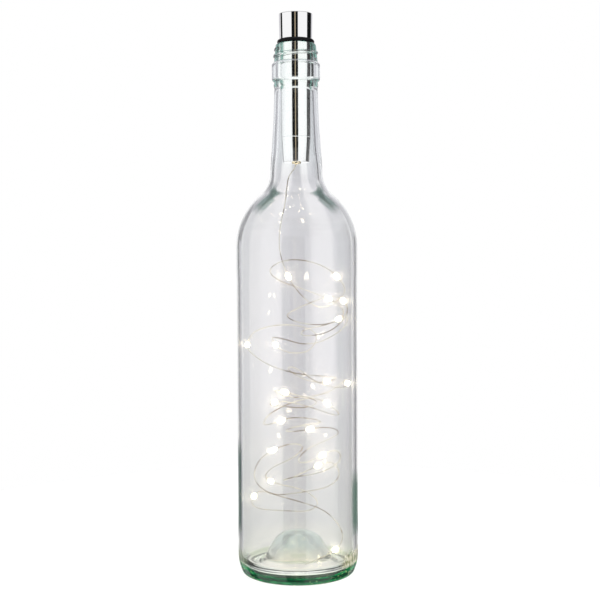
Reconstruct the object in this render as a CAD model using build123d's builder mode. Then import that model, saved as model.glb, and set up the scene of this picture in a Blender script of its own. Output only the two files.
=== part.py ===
from build123d import *
import os
from math import atan2, cos, degrees, pi, radians, sin, sqrt, tan

# Cork bottle light: a green glass wine bottle with a metal stopper. The stopper holds a cell,
# a charging plug under its lift-off cap, and a thin wire that hangs twenty lamps in the glass.
# Millimetres, +Z up. The origin is the middle of the ring that the bottle stands on.

os.makedirs("parts", exist_ok=True)

# Bottle, outside
body_radius = 37.15
label_inset = 0.25          # the label panel lies this far inside the bands above and below it
stand_inset = 4.75          # from the body's side to the middle of the ring that it stands on
stand_width = 1.6
heel_height = 11.0
low_band = 9.0              # height of the band above the heel
low_taper = 20.0
high_taper = 14.0
high_band = 10.0            # height of the band below the shoulder
shoulder_height = 200.0
shoulder_arc = 42.0
throat_arc = 17.2           # the hollow curve between the shoulder and the neck
neck_length = 51.022
neck_wall = 3.75            # glass between the bore and the top of the neck
neck_flare = 2.65           # how much wider the neck is at its root
heel_share = 0.382          # height of the middle of the heel curve
heel_reach_share = 0.71     # how far out that point lies between the ring and the body
neck_curve_shares = [(0.32, 0.38), (0.62, 0.75)]   # height up the neck, taper done

# Bottle, finish: from the bead under the collar up to the lip
bead_height = 3.8
bead_rise = 0.4
bead_gap = 1.0
collar_height = 8.6
collar_rise = 1.35          # how far the collar stands out from the foot of the sleeve
collar_lower_edge = 1.2
collar_upper_edge = 0.9
sleeve_foot = 0.4
sleeve_length = 9.0
sleeve_taper = 0.9
lip_height = 2.1
lip_rounding = 1.15
lip_width = 1.85
mouth_length = 6.0          # straight part of the bore
mouth_rounding = 0.5
mouth_gap = 0.55            # round the stopper's tube
lip_bulge_share = 0.72

# Screw thread on the sleeve
thread_pitch = 4.2
thread_turns = 1.55
thread_rise = 0.8
thread_root = 0.35          # how deep the thread is rooted in the sleeve
thread_width = 1.9
thread_crest_width = 0.9
thread_foot_height = 1.6    # above the foot of the sleeve

# Bottle, inside
glass_wall = 2.8
floor_glass = 6.0           # glass between the stand and the lowest place inside
punt_depth = 19.8
punt_glass = 5.0
inner_heel = 6.5
punt_foot_gap = 1.35
punt_top_shares = [(0.777, 0.170), (0.619, 0.457), (0.362, 0.867)]   # radius, height
punt_under_shares = [(0.775, 0.131), (0.525, 0.455), (0.291, 0.828)]
bore_taper_shares = [(0.23, 0.486), (0.55, 0.75)]      # height up the bore, taper done

# Cell and its ends
cell_radius = 7.0
cell_length = 48.0
nub_radius = 2.75
nub_height = 1.0
wrap_thickness = 0.12
wrap_lip = 0.9
insulator_gap = 0.25        # round the nub
insulator_thickness = 0.25
strip_width = 3.0
strip_thickness = 0.15
strip_gap = 0.18            # between the cell's wrap and the strip beside it
pad_edge = 0.1              # the lower pad stands this far out from the can
pad_width = 2.6
pad_inset = 0.2             # the upper pad lies this far inside the can
pad_nub_gap = 0.85
lower_pad_height = 1.05
upper_pad_height = 1.03

# Stopper, outside
tube_wall = 0.7
tube_lap = 1.85             # how far the tube reaches up inside the head
seam_drop = 2.6             # from the seam below the tube down to the ledge under the cell
seam_chamfer = 0.15
end_taper = 0.85
end_cap_edge = 0.4
end_floor = 1.0
spigot_length = 4.5
ledge_width = 0.5
chamber_gap = 0.38          # round the foot of the cell
head_side_gap = 0.3
head_wall = 0.8
head_draft = 0.25
head_web = 0.9
head_edge = 0.35
head_gap = 0.15             # between the seal and the foot of the head

# Seal
seal_section = 1.35
seal_flat_share = 0.926     # its two flats, as a share of the section's radius
groove_depth = 0.25
groove_side_gap = 0.05
groove_floor_gap = 0.03

# Core chassis
fit = 0.05                  # between pieces that are pushed together
cup_thickness = 1.2
cup_nub_gap = 0.65
room_margin = 1.0           # the room is this much wider than the plug
deck_thickness = 1.8
shelf_thickness = 0.8
shelf_margin = 1.1
slot_margin = 1.0

# Charging plug
plug_width = 12.0
plug_depth = 4.5
plug_wall = 0.3
plug_length = 15.8
plug_sink = 2.0             # how far the plug reaches down below the deck
plug_offset = 1.6           # behind the stopper's axis
plug_gap = 0.12             # round the plug in the deck and in the cap
latch_width = 2.5
latch_height = 1.95
latch_drop = 5.2
tongue_base = 4.3
tongue_thickness = 1.9
tongue_drop = 1.0
contact_width = 1.0
contact_thickness = 0.2
contact_pitch = 2.4
contact_count = 4
contact_length = 8.0

# Circuit board
board_thickness = 1.0
board_height = 8.0
board_gap = 0.1
chip_width = 3.0
chip_height = 2.6
chip_thickness = 1.0
chip_spacing = 7.6
chip_level = 2.6            # middle of the chips, above the foot of the board
passive_width = 1.6
passive_height = 0.8
passive_thickness = 0.6
passive_pitch = 1.6
passive_level = 4.0
passive_offset = 4.0

# Switch
switch_width = 4.5
switch_depth = 4.2
switch_height = 3.7
switch_gap = 1.85           # between the plug and the switch
button_radius = 1.5
button_flange = 2.1
button_flange_height = 0.7
button_stand = 0.7          # above the deck
button_travel = 0.4
button_fit = 0.08
button_gap = 0.05
button_rounding = 0.25

# Cap liner
liner_wall = 1.0
liner_web = 1.2
liner_roof = 0.4
liner_air = 0.2             # above the tip of the plug
button_pocket_gap = 0.9
button_pocket_height = 1.5

# Exit bush, knot and leads
bush_radius = 2.2
bush_flange = 2.85
bush_flange_height = 1.1
bush_dome = 0.35
bush_inner_flange = 3.0
bush_inner_height = 0.6
bush_bore = 0.5
knot_radius = 1.7
knot_low_share = 0.8        # flats on the knot, as shares of its radius from its middle
knot_high_share = 0.7
splice_radius = 0.7
splice_length = 4.0
splice_gap = 0.1            # from the middle to each splice
lead_radius = 0.4
lead_offset = 1.0
lead_rise = 1.4
lead_climb = 0.85
lead_low_drop = 2.0         # below the ledge that carries the cell
lead_high_drop = 0.5
lead_clear = 0.1            # between the cell's wrap and the leads
lead_wall_gap = 0.18        # between the leads and the tube
lead_slot_drop = 2.9
lead_landing = 2.2          # height of the solder joints above the foot of the board
lead_bend = 2.0             # widest bend in a lead
strip_top_landing = 1.8
strip_landing_gap = 1.3

# Lamp string
wire_radius = 0.35
drop_radius = 1.6
drop_length = 5.0
drop_clear = 0.1
chip_box_length = 1.0
chip_box_width = 0.7
chip_box_height = 0.5

# One overrun serves every cut that has to pass right through
overrun = 1.0
bend_share = 0.45           # of a wire's run between two corners, taken by each of its bends

# Radii that follow from the cell outwards: tube, bore, finish, neck
wrap_radius = cell_radius + wrap_thickness
lead_reach = wrap_radius + lead_clear + lead_radius
strip_reach = wrap_radius + strip_gap
tube_bore = lead_reach + lead_radius + lead_wall_gap
tube_radius = tube_bore + tube_wall
chassis_radius = tube_bore - fit
seal_radius = tube_radius - groove_depth + seal_section
seal_flat = seal_section * seal_flat_share
head_bore = tube_radius + head_side_gap
head_low_radius = head_bore + head_wall
head_top_radius = head_low_radius + head_draft
mouth_radius = tube_radius + mouth_gap
lip_radius = mouth_radius + lip_width
sleeve_high_radius = lip_radius + lip_rounding
sleeve_low_radius = sleeve_high_radius + sleeve_taper
collar_radius = sleeve_low_radius + collar_rise
neck_top_radius = mouth_radius + neck_wall
neck_root_radius = neck_top_radius + neck_flare
pad_radius = cell_radius + pad_edge
upper_pad_radius = cell_radius - pad_inset
chamber_radius = pad_radius - ledge_width
chamber_top_radius = wrap_radius + chamber_gap
cup_hole = nub_radius + cup_nub_gap
slot_width = 2 * (lead_offset + lead_radius) + slot_margin
room_width = plug_width + room_margin
splice_offset = splice_radius + splice_gap
switch_offset = -plug_offset + plug_depth / 2 + switch_gap + switch_depth / 2
shelf_front = switch_offset - switch_depth / 2 - shelf_margin
board_front = -plug_offset + board_thickness / 2
board_back = -plug_offset - board_thickness / 2

# Heights of the bottle, from the stand up to the lip
inner_radius = body_radius - glass_wall
stand_radius = body_radius - stand_inset
punt_foot_radius = inner_radius - inner_heel - punt_foot_gap
low_band_height = heel_height + low_band
label_low = low_band_height + low_taper
high_band_height = shoulder_height - high_band
label_high = high_band_height - high_taper
shoulder_middle = body_radius - shoulder_arc
throat_middle = neck_root_radius + throat_arc
curve_rise = sqrt((shoulder_arc + throat_arc) ** 2 - (throat_middle - shoulder_middle) ** 2)
curve_angle = degrees(atan2(curve_rise, throat_middle - shoulder_middle))
neck_root_height = shoulder_height + curve_rise
bead_low_height = neck_root_height + neck_length
bead_high_height = bead_low_height + bead_height
collar_low_height = bead_high_height + bead_gap + collar_lower_edge
collar_high_height = collar_low_height + collar_height
sleeve_low_height = collar_high_height + collar_upper_edge + sleeve_foot
sleeve_high_height = sleeve_low_height + sleeve_length
seat = sleeve_high_height + lip_height

# Heights of the stopper, from its seat on the lip up, and then down through the cell
seal_middle = seat + seal_flat
head_low = seal_middle + seal_flat + head_gap
tube_high = head_low + tube_lap
deck_low = tube_high - deck_thickness
cup_high = deck_low - plug_sink - board_height
board_high = cup_high + board_height
plug_high = board_high + plug_length
liner_high = plug_high + liner_air + liner_roof
head_high = liner_high + head_web
flange_high = deck_low - button_gap
shelf_high = flange_high - button_flange_height - button_travel - button_gap - switch_height
shelf_low = shelf_high - shelf_thickness
cup_low = cup_high - cup_thickness
cell_high = cup_low - upper_pad_height - wrap_thickness - insulator_thickness
cell_low = cell_high - cell_length
ledge = cell_low - strip_thickness - lower_pad_height
tube_low = ledge + seam_drop
splice_top = ledge - lead_low_drop - lead_climb - lead_rise
knot_top = splice_top - splice_length
knot_middle = knot_top - knot_radius * knot_high_share
bush_top = knot_middle - knot_radius * knot_low_share
end_low = bush_top - bush_inner_height - end_floor
end_cap_radius = tube_radius - end_taper


def at_angle(middle, radius, angle):
    """Point on a circle in the profile plane."""
    return (middle[0] + radius * cos(radians(angle)), middle[1] + radius * sin(radians(angle)))


def shared_points(start, end, shares):
    """Points between two corners: the first share runs along the height, the second across."""
    return [
        (start[0] + (end[0] - start[0]) * across, start[1] + (end[1] - start[1]) * up)
        for up, across in shares
    ]


# Bottle: one revolved wall of glass, with its screw thread
shoulder_centre = (shoulder_middle, shoulder_height)
throat_centre = (throat_middle, neck_root_height)
half_angle = curve_angle / 2
bead_low = (neck_top_radius, bead_low_height)
bead_high = (neck_top_radius, bead_high_height)
bead_crest = (neck_top_radius + bead_rise, (bead_low[1] + bead_high[1]) / 2)
heel_foot = (stand_radius + stand_width / 2, 0)
heel_top = (body_radius, heel_height)
heel_middle = (
    heel_foot[0] + (body_radius - heel_foot[0]) * heel_reach_share,
    heel_height * heel_share,
)
stand_inside = (stand_radius - stand_width / 2, 0)
neck_root = (neck_root_radius, neck_root_height)
label_radius = body_radius - label_inset
inner_root = (neck_root_radius - glass_wall, neck_root_height)
bore_top = (mouth_radius, seat - mouth_length)
inner_heel_centre = (inner_radius - inner_heel, floor_glass + inner_heel)
punt_top = (0, punt_depth + punt_glass)
punt_foot = (punt_foot_radius, floor_glass)


def punt_curve(foot, apex, shares):
    """Points of the dome under the bottle, as shares of its foot's radius and of its rise."""
    return [(foot[0] * out, foot[1] + (apex[1] - foot[1]) * up) for out, up in shares]


with BuildPart() as bottle:
    with BuildSketch(Plane.XZ):
        with BuildLine():
            Line(stand_inside, heel_foot)
            Spline(heel_foot, heel_middle, heel_top, tangents=[(1, 0), (0, 1)])
            Line(heel_top, (body_radius, low_band_height))
            Spline((body_radius, low_band_height), (label_radius, label_low), tangents=[(0, 1), (0, 1)])
            Line((label_radius, label_low), (label_radius, label_high))
            Spline(
                (label_radius, label_high), (body_radius, high_band_height),
                tangents=[(0, 1), (0, 1)],
            )
            Line((body_radius, high_band_height), (body_radius, shoulder_height))
            ThreePointArc(
                (body_radius, shoulder_height),
                at_angle(shoulder_centre, shoulder_arc, half_angle),
                at_angle(shoulder_centre, shoulder_arc, curve_angle),
            )
            ThreePointArc(
                at_angle(throat_centre, throat_arc, 180 + curve_angle),
                at_angle(throat_centre, throat_arc, 180 + half_angle),
                neck_root,
            )
            Spline(
                neck_root, *shared_points(neck_root, bead_low, neck_curve_shares), bead_low,
                tangents=[(0, 1), (-neck_flare, 2 * neck_length)],
            )
            ThreePointArc(bead_low, bead_crest, bead_high)
            Polyline(
                bead_high,
                (collar_radius - collar_lower_edge / 4, collar_low_height - collar_lower_edge),
                (collar_radius, collar_low_height),
                (collar_radius, collar_high_height),
                (collar_radius - collar_upper_edge, collar_high_height + collar_upper_edge),
                (sleeve_low_radius, sleeve_low_height),
                (sleeve_high_radius, sleeve_high_height),
            )
            ThreePointArc(
                (sleeve_high_radius, sleeve_high_height),
                (
                    lip_radius + lip_rounding * lip_bulge_share,
                    seat - lip_height * (1 - lip_bulge_share),
                ),
                (lip_radius, seat),
            )
            Line((lip_radius, seat), (mouth_radius, seat))
            Line((mouth_radius, seat), bore_top)
            Spline(
                bore_top, *reversed(shared_points(inner_root, bore_top, bore_taper_shares)), inner_root,
                tangents=[(0, -1), (0, -1)],
            )
            ThreePointArc(
                inner_root,
                at_angle(throat_centre, throat_arc + glass_wall, 180 + half_angle),
                at_angle(throat_centre, throat_arc + glass_wall, 180 + curve_angle),
            )
            ThreePointArc(
                at_angle(shoulder_centre, shoulder_arc - glass_wall, curve_angle),
                at_angle(shoulder_centre, shoulder_arc - glass_wall, half_angle),
                (inner_radius, shoulder_height),
            )
            Line((inner_radius, shoulder_height), (inner_radius, inner_heel_centre[1]))
            ThreePointArc(
                (inner_radius, inner_heel_centre[1]),
                at_angle(inner_heel_centre, inner_heel, -45),
                (inner_heel_centre[0], floor_glass),
            )
            Line((inner_heel_centre[0], floor_glass), punt_foot)
            Spline(
                punt_foot, *punt_curve(punt_foot, punt_top, punt_top_shares), punt_top,
                tangents=[(-1, 0), (-1, 0)],
            )
            Line(punt_top, (0, punt_depth))
            Spline(
                (0, punt_depth),
                *reversed(punt_curve(stand_inside, (0, punt_depth), punt_under_shares)), stand_inside,
                tangents=[(1, 0), (1, 0)],
            )
        make_face()
    revolve(axis=Axis.Z)
    mouth_edge = bottle.edges().filter_by(GeomType.CIRCLE).group_by(Axis.Z)[-1].sort_by(SortBy.RADIUS)[0]
    fillet(mouth_edge, radius=mouth_rounding)

    # The thread climbs round the sleeve and follows its taper
    sleeve_slope = sleeve_taper / sleeve_length
    thread_foot = sleeve_low_radius - sleeve_slope * thread_foot_height
    with BuildLine() as thread_path:
        Helix(
            pitch=thread_pitch,
            height=thread_pitch * thread_turns,
            radius=thread_foot,
            center=(0, 0, sleeve_low_height + thread_foot_height),
            cone_angle=-degrees(atan2(sleeve_slope, 1)),
        )
    thread_start = Plane(
        origin=thread_path.line @ 0, x_dir=(1, 0, 0), z_dir=thread_path.line % 0
    )
    with BuildSketch(thread_start):
        with BuildLine():
            Polyline(
                (-thread_root, -thread_width / 2), (0, -thread_width / 2),
                (thread_rise, -thread_crest_width / 2), (thread_rise, thread_crest_width / 2),
                (0, thread_width / 2), (-thread_root, thread_width / 2), close=True,
            )
        make_face()
    sweep(path=thread_path.line, is_frenet=True)
bottle.part.label = "bottle"
print("bottle", bottle.part.volume, len(bottle.solids()), bottle.part.bounding_box())

# Seal: a rubber ring with two narrow flats, on the lip of the bottle
with BuildPart() as sealing_ring:
    with BuildSketch(Plane.XZ):
        with Locations((seal_radius, seal_middle)):
            Circle(seal_section)
            Rectangle(2 * seal_section, 2 * seal_flat, mode=Mode.INTERSECT)
    revolve(axis=Axis.Z)
sealing_ring.part.label = "sealing_ring"

# Body tube: the long metal tube that fills the neck, with a groove for the seal
with BuildPart() as body_tube:
    with BuildSketch(Plane.XY.offset(tube_low)):
        Circle(tube_radius)
        Circle(tube_bore, mode=Mode.SUBTRACT)
    extrude(amount=tube_high - tube_low)
    outer_edges = body_tube.edges().filter_by(GeomType.CIRCLE).sort_by(SortBy.RADIUS)[-2:]
    chamfer(outer_edges.sort_by(Axis.Z)[0], length=seam_chamfer)
    with BuildSketch(Plane.XY.offset(seat - groove_side_gap)):
        Circle(tube_radius + overrun)
        Circle(seal_radius - seal_section - groove_floor_gap, mode=Mode.SUBTRACT)
    extrude(amount=2 * (seal_flat + groove_side_gap), mode=Mode.SUBTRACT)
body_tube.part.label = "body_tube"

# Head: a thin metal cap that lifts off the plug
with BuildPart() as head_cap:
    with BuildSketch(Plane.XZ):
        with BuildLine():
            Polyline(
                (0, head_high - head_web), (head_bore, head_high - head_web), (head_bore, head_low),
                (head_low_radius, head_low), (head_top_radius, head_high), (0, head_high), close=True,
            )
        make_face()
    revolve(axis=Axis.Z)
    top_edge = head_cap.edges().filter_by(GeomType.CIRCLE).group_by(Axis.Z)[-1]
    fillet(top_edge, radius=head_edge)
head_cap.part.label = "head_cap"

# Liner: a plastic insert in the head, with a socket for the plug and a pocket for the button
with BuildPart() as cap_liner:
    with BuildSketch(Plane.XY.offset(tube_high)):
        Circle(head_bore)
    extrude(amount=liner_high - tube_high)
    socket_width = plug_width + 2 * plug_gap
    socket_depth = plug_depth + 2 * plug_gap
    with BuildSketch(Plane.XY.offset(tube_high)):
        Circle(head_bore - liner_wall)
        with Locations((0, -plug_offset)):
            Rectangle(socket_width + 2 * liner_wall, socket_depth + 2 * liner_wall, mode=Mode.SUBTRACT)
    extrude(amount=liner_high - liner_web - tube_high, mode=Mode.SUBTRACT)
    with BuildSketch(Plane.XY.offset(tube_high)):
        with Locations((0, -plug_offset)):
            Rectangle(socket_width, socket_depth)
    extrude(amount=plug_high + liner_air - tube_high, mode=Mode.SUBTRACT)
    with BuildSketch(Plane.XY.offset(tube_high)):
        with Locations((0, switch_offset)):
            Circle(button_radius + button_pocket_gap)
    extrude(amount=button_pocket_height, mode=Mode.SUBTRACT)
cap_liner.part.label = "cap_liner"

# End cap: closes the foot of the tube and holds the exit bush
with BuildPart() as end_cap:
    with BuildSketch(Plane.XZ):
        with BuildLine():
            Polyline(
                (0, end_low), (end_cap_radius - end_cap_edge, end_low),
                (end_cap_radius, end_low + end_cap_edge),
                (tube_radius, tube_low - seam_chamfer), (tube_radius - seam_chamfer, tube_low),
                (tube_bore - fit, tube_low), (tube_bore - fit, tube_low + spigot_length),
                (chamber_top_radius, tube_low + spigot_length), (chamber_top_radius, ledge),
                (chamber_radius, ledge), (chamber_radius, end_low + end_floor),
                (0, end_low + end_floor), close=True,
            )
        make_face()
    revolve(axis=Axis.Z)
    with BuildSketch(Plane.XY.offset(end_low)):
        Circle(bush_radius + fit)
    extrude(amount=end_floor, mode=Mode.SUBTRACT)
    for turn in (90, -90):
        slot_low = ledge - lead_slot_drop if turn == 90 else ledge
        with BuildSketch(Plane.XY.offset(slot_low)):
            with Locations(Rotation(0, 0, turn)):
                Rectangle(tube_bore, slot_width, align=(Align.MIN, Align.CENTER))
            Circle(tube_bore, mode=Mode.INTERSECT)
        extrude(amount=tube_low + spigot_length - slot_low, mode=Mode.SUBTRACT)
end_cap.part.label = "end_cap"

# Exit bush: a small brass rivet that the lamp wire leaves through
with BuildPart() as exit_bush:
    with BuildSketch(Plane.XZ):
        with BuildLine():
            Polyline(
                (bush_flange, end_low), (bush_radius, end_low), (bush_radius, end_low + end_floor),
                (bush_inner_flange, end_low + end_floor), (bush_inner_flange, bush_top),
                (bush_bore, bush_top), (bush_bore, end_low - bush_flange_height),
            )
            Spline(
                (bush_bore, end_low - bush_flange_height),
                (bush_flange - bush_dome, end_low - bush_flange_height + bush_dome),
                (bush_flange, end_low),
                tangents=[(1, 0), (0, 1)],
            )
        make_face()
    revolve(axis=Axis.Z)
exit_bush.part.label = "exit_bush"

# Core chassis: a cup on the cell, a room for the board and the switch, and a deck for the plug
with BuildPart() as core_chassis:
    with BuildSketch(Plane.XY.offset(cup_low)):
        Circle(chassis_radius)
    extrude(amount=tube_high - cup_low)
    with BuildSketch(Plane.XY.offset(cup_low)):
        Circle(cup_hole)
        for turn in (90, -90):
            with Locations(Rotation(0, 0, turn) * Pos(upper_pad_radius, 0)):
                Rectangle(chassis_radius, slot_width, align=(Align.MIN, Align.CENTER))
    extrude(amount=cup_thickness, mode=Mode.SUBTRACT)
    for room_low, room_high in ((cup_high, shelf_low), (shelf_high, deck_low)):
        with BuildSketch(Plane.XY.offset(room_low)):
            Rectangle(room_width, 2 * (chassis_radius + overrun))
        extrude(amount=room_high - room_low, mode=Mode.SUBTRACT)
    with BuildSketch(Plane.XY.offset(shelf_low)):
        with Locations((0, shelf_front)):
            Rectangle(room_width, 2 * chassis_radius, align=(Align.CENTER, Align.MAX))
    extrude(amount=shelf_thickness, mode=Mode.SUBTRACT)
    with BuildSketch(Plane.XY.offset(deck_low)):
        with Locations((0, -plug_offset)):
            Rectangle(socket_width, socket_depth)
        with Locations((0, switch_offset)):
            Circle(button_radius + button_fit)
    extrude(amount=deck_thickness, mode=Mode.SUBTRACT)
core_chassis.part.label = "core_chassis"

# Charging plug: folded metal shell, plastic tongue and four contacts
plug_place = Plane.XY.offset(board_high)
with BuildPart() as usb_shell:
    with BuildSketch(plug_place):
        with Locations((0, -plug_offset)):
            Rectangle(plug_width, plug_depth)
            Rectangle(plug_width - 2 * plug_wall, plug_depth - 2 * plug_wall, mode=Mode.SUBTRACT)
    extrude(amount=plug_length)
    with BuildSketch(Plane.XZ.offset(plug_offset + plug_depth)):
        with Locations((0, plug_high - latch_drop)):
            with GridLocations(plug_width / 2, latch_height, 2, 1):
                Rectangle(latch_width, latch_height)
    extrude(amount=-2 * plug_depth, mode=Mode.SUBTRACT)
usb_shell.part.label = "usb_shell"

tongue_width = plug_width - 2 * plug_wall - 2 * fit
tongue_depth = plug_depth - 2 * plug_wall - 2 * fit
tongue_back = -plug_offset - tongue_depth / 2
with BuildPart() as usb_tongue:
    with BuildSketch(plug_place):
        with Locations((0, -plug_offset)):
            Rectangle(tongue_width, tongue_depth)
    extrude(amount=tongue_base)
    with BuildSketch(plug_place.offset(tongue_base)):
        with Locations((0, tongue_back)):
            Rectangle(tongue_width, tongue_thickness, align=(Align.CENTER, Align.MIN))
    extrude(amount=plug_length - tongue_base - tongue_drop)
usb_tongue.part.label = "usb_tongue"

with BuildPart() as usb_contacts:
    with BuildSketch(plug_place.offset(tongue_base)):
        with Locations((0, tongue_back + tongue_thickness + contact_thickness / 2)):
            with GridLocations(contact_pitch, contact_thickness, contact_count, 1):
                Rectangle(contact_width, contact_thickness)
    extrude(amount=contact_length)
usb_contacts.part.label = "usb_contacts"

# Circuit board, standing in the room under the plug
board_width = room_width - 2 * board_gap
with BuildPart() as circuit_board:
    with BuildSketch(Plane.XY.offset(cup_high)):
        with Locations((0, -plug_offset)):
            Rectangle(board_width, board_thickness)
    extrude(amount=board_height)
circuit_board.part.label = "circuit_board"

with BuildPart() as board_chips:
    with BuildSketch(Plane.XZ.offset(-board_front)):
        with Locations((0, cup_high + chip_level)):
            with GridLocations(chip_spacing, chip_height, 2, 1):
                Rectangle(chip_width, chip_height)
    extrude(amount=-chip_thickness)
board_chips.part.label = "board_chips"

with BuildPart() as board_passives:
    with BuildSketch(Plane.XZ.offset(-board_back)):
        with Locations((0, cup_high + passive_level)):
            with GridLocations(2 * passive_offset, passive_pitch, 2, 3):
                Rectangle(passive_width, passive_height)
    extrude(amount=passive_thickness)
board_passives.part.label = "board_passives"

# Switch on its shelf, and the button that works it through the deck
with BuildPart() as switch_body:
    with BuildSketch(Plane.XY.offset(shelf_high)):
        with Locations((0, switch_offset)):
            Rectangle(switch_width, switch_depth)
    extrude(amount=switch_height)
switch_body.part.label = "switch_body"

with BuildPart() as switch_button:
    with BuildSketch(Plane.XY.offset(flange_high - button_flange_height)):
        with Locations((0, switch_offset)):
            Circle(button_flange)
    extrude(amount=button_flange_height)
    with BuildSketch(Plane.XY.offset(flange_high)):
        with Locations((0, switch_offset)):
            Circle(button_radius)
    extrude(amount=tube_high + button_stand - flange_high)
    button_edge = switch_button.edges().filter_by(GeomType.CIRCLE).group_by(Axis.Z)[-1]
    fillet(button_edge, radius=button_rounding)
switch_button.part.label = "switch_button"

# Cell: can with its nub, printed wrap, insulating ring, foam pads and welded strips
with BuildPart() as cell_can:
    with BuildSketch(Plane.XY.offset(cell_low)):
        Circle(cell_radius)
    extrude(amount=cell_length)
    shoulder_edge = cell_can.edges().filter_by(GeomType.CIRCLE).group_by(Axis.Z)[-1]
    chamfer(shoulder_edge, length=wrap_thickness)
    with BuildSketch(Plane.XY.offset(cell_high)):
        Circle(nub_radius)
    extrude(amount=nub_height)
cell_can.part.label = "cell_can"

insulator_high = cell_high + insulator_thickness
with BuildPart() as cell_insulator:
    with BuildSketch(Plane.XY.offset(cell_high)):
        Circle(cell_radius - wrap_lip)
        Circle(nub_radius + insulator_gap, mode=Mode.SUBTRACT)
    extrude(amount=insulator_thickness)
cell_insulator.part.label = "cell_insulator"

with BuildPart() as cell_wrap:
    with BuildSketch(Plane.XY.offset(cell_low)):
        Circle(wrap_radius)
        Circle(cell_radius, mode=Mode.SUBTRACT)
    extrude(amount=cell_length)
    with BuildSketch(Plane.XY.offset(cell_high)):
        Circle(wrap_radius)
        Circle(cell_radius - wrap_lip, mode=Mode.SUBTRACT)
    extrude(amount=insulator_thickness)
    with BuildSketch(Plane.XY.offset(insulator_high)):
        Circle(wrap_radius)
        Circle(cell_radius - 2 * wrap_lip, mode=Mode.SUBTRACT)
    extrude(amount=wrap_thickness)
cell_wrap.part.label = "cell_wrap"

with BuildPart() as cell_pads:
    with BuildSketch(Plane.XY.offset(ledge)):
        Circle(pad_radius)
        Circle(pad_radius - pad_width, mode=Mode.SUBTRACT)
    extrude(amount=lower_pad_height)
    with BuildSketch(Plane.XY.offset(cup_low - upper_pad_height)):
        Circle(upper_pad_radius)
        Circle(nub_radius + pad_nub_gap, mode=Mode.SUBTRACT)
    extrude(amount=upper_pad_height)
cell_pads.part.label = "cell_pads"

nub_high = cell_high + nub_height
strip_landing_height = cup_high + strip_top_landing + strip_landing_gap
with BuildPart() as nickel_strips:
    # The upper strip goes from the nub to the foot of the board
    with BuildSketch(Plane.XY.offset(nub_high)):
        with Locations((0, board_back - strip_thickness)):
            Rectangle(strip_width, plug_offset + strip_width, align=(Align.CENTER, Align.MIN))
    extrude(amount=strip_thickness)
    with BuildSketch(Plane.XY.offset(nub_high)):
        with Locations((0, board_back - strip_thickness)):
            Rectangle(strip_width, strip_thickness, align=(Align.CENTER, Align.MIN))
    extrude(amount=cup_high + strip_top_landing - nub_high)
    # The lower strip goes from under the can, up beside it and in to the board
    with BuildSketch(Plane.XY.offset(cell_low - strip_thickness)):
        with Locations((0, -strip_reach - strip_thickness)):
            Rectangle(strip_width, strip_reach + strip_width, align=(Align.CENTER, Align.MIN))
    extrude(amount=strip_thickness)
    with BuildSketch(Plane.XY.offset(cell_low - strip_thickness)):
        with Locations((0, -strip_reach - strip_thickness)):
            Rectangle(strip_width, strip_thickness, align=(Align.CENTER, Align.MIN))
    extrude(amount=strip_landing_height + 2 * strip_thickness - cell_low)
    with BuildSketch(Plane.XY.offset(strip_landing_height)):
        with Locations((0, -strip_reach - strip_thickness)):
            Rectangle(
                strip_width, strip_reach + strip_thickness + board_back, align=(Align.CENTER, Align.MIN)
            )
    extrude(amount=strip_thickness)
nickel_strips.part.label = "nickel_strips"

# Knot in the lamp wire, resting on the bush, and the two splices above it
with BuildPart() as wire_knot:
    with BuildSketch(Plane.XZ):
        with BuildLine():
            low_half = knot_radius * sqrt(1 - knot_low_share ** 2)
            high_half = knot_radius * sqrt(1 - knot_high_share ** 2)
            Polyline(
                (high_half, knot_top), (0, knot_top), (0, bush_top), (low_half, bush_top),
            )
            ThreePointArc((low_half, bush_top), (knot_radius, knot_middle), (high_half, knot_top))
        make_face()
    revolve(axis=Axis.Z)
wire_knot.part.label = "wire_knot"

with BuildPart() as splice_sleeves:
    with BuildSketch(Plane.XY.offset(knot_top)):
        with GridLocations(2 * splice_offset, splice_length, 2, 1):
            Circle(splice_radius)
    extrude(amount=splice_length)
splice_sleeves.part.label = "splice_sleeves"


def bend_radii(points):
    """Widest bends that leave a straight piece in the middle of every run."""
    radii = []
    for before, here, after in zip(points, points[1:], points[2:]):
        run_in = Vector(*here) - Vector(*before)
        run_out = Vector(*after) - Vector(*here)
        half_turn = radians(run_in.get_angle(run_out)) / 2
        radii.append(bend_share * min(run_in.length, run_out.length) / tan(half_turn))
    return radii


# Leads from the splices, up beside the cell to the front of the board
lead_landing_height = cup_high + lead_landing
for name, side in (("lead_red", 1), ("lead_black", -1)):
    lead_points = [
        (side * splice_offset, 0, splice_top),
        (side * splice_offset, 0, splice_top + lead_rise),
        (side * lead_offset, chamber_radius, ledge - lead_low_drop),
        (side * lead_offset, lead_reach, ledge - lead_high_drop),
        (side * lead_offset, lead_reach, lead_landing_height),
        (side * lead_offset, board_front, lead_landing_height),
    ]
    radii = [min(bend, lead_bend) for bend in bend_radii(lead_points)]
    with BuildPart() as lead:
        with BuildLine() as lead_path:
            FilletPolyline(*lead_points, radius=radii)
        with BuildSketch(Plane(origin=lead_points[0], z_dir=(0, 0, 1))):
            Circle(lead_radius)
        sweep(path=lead_path.wire())
    lead.part.label = name
    print(name, "bends", [round(bend, 2) for bend in radii], "volume", round(lead.part.volume, 2),
          "of", round(lead_path.wire().length * pi * lead_radius ** 2, 2))
    export_step(lead.part, f"parts/{name}.step")

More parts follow.
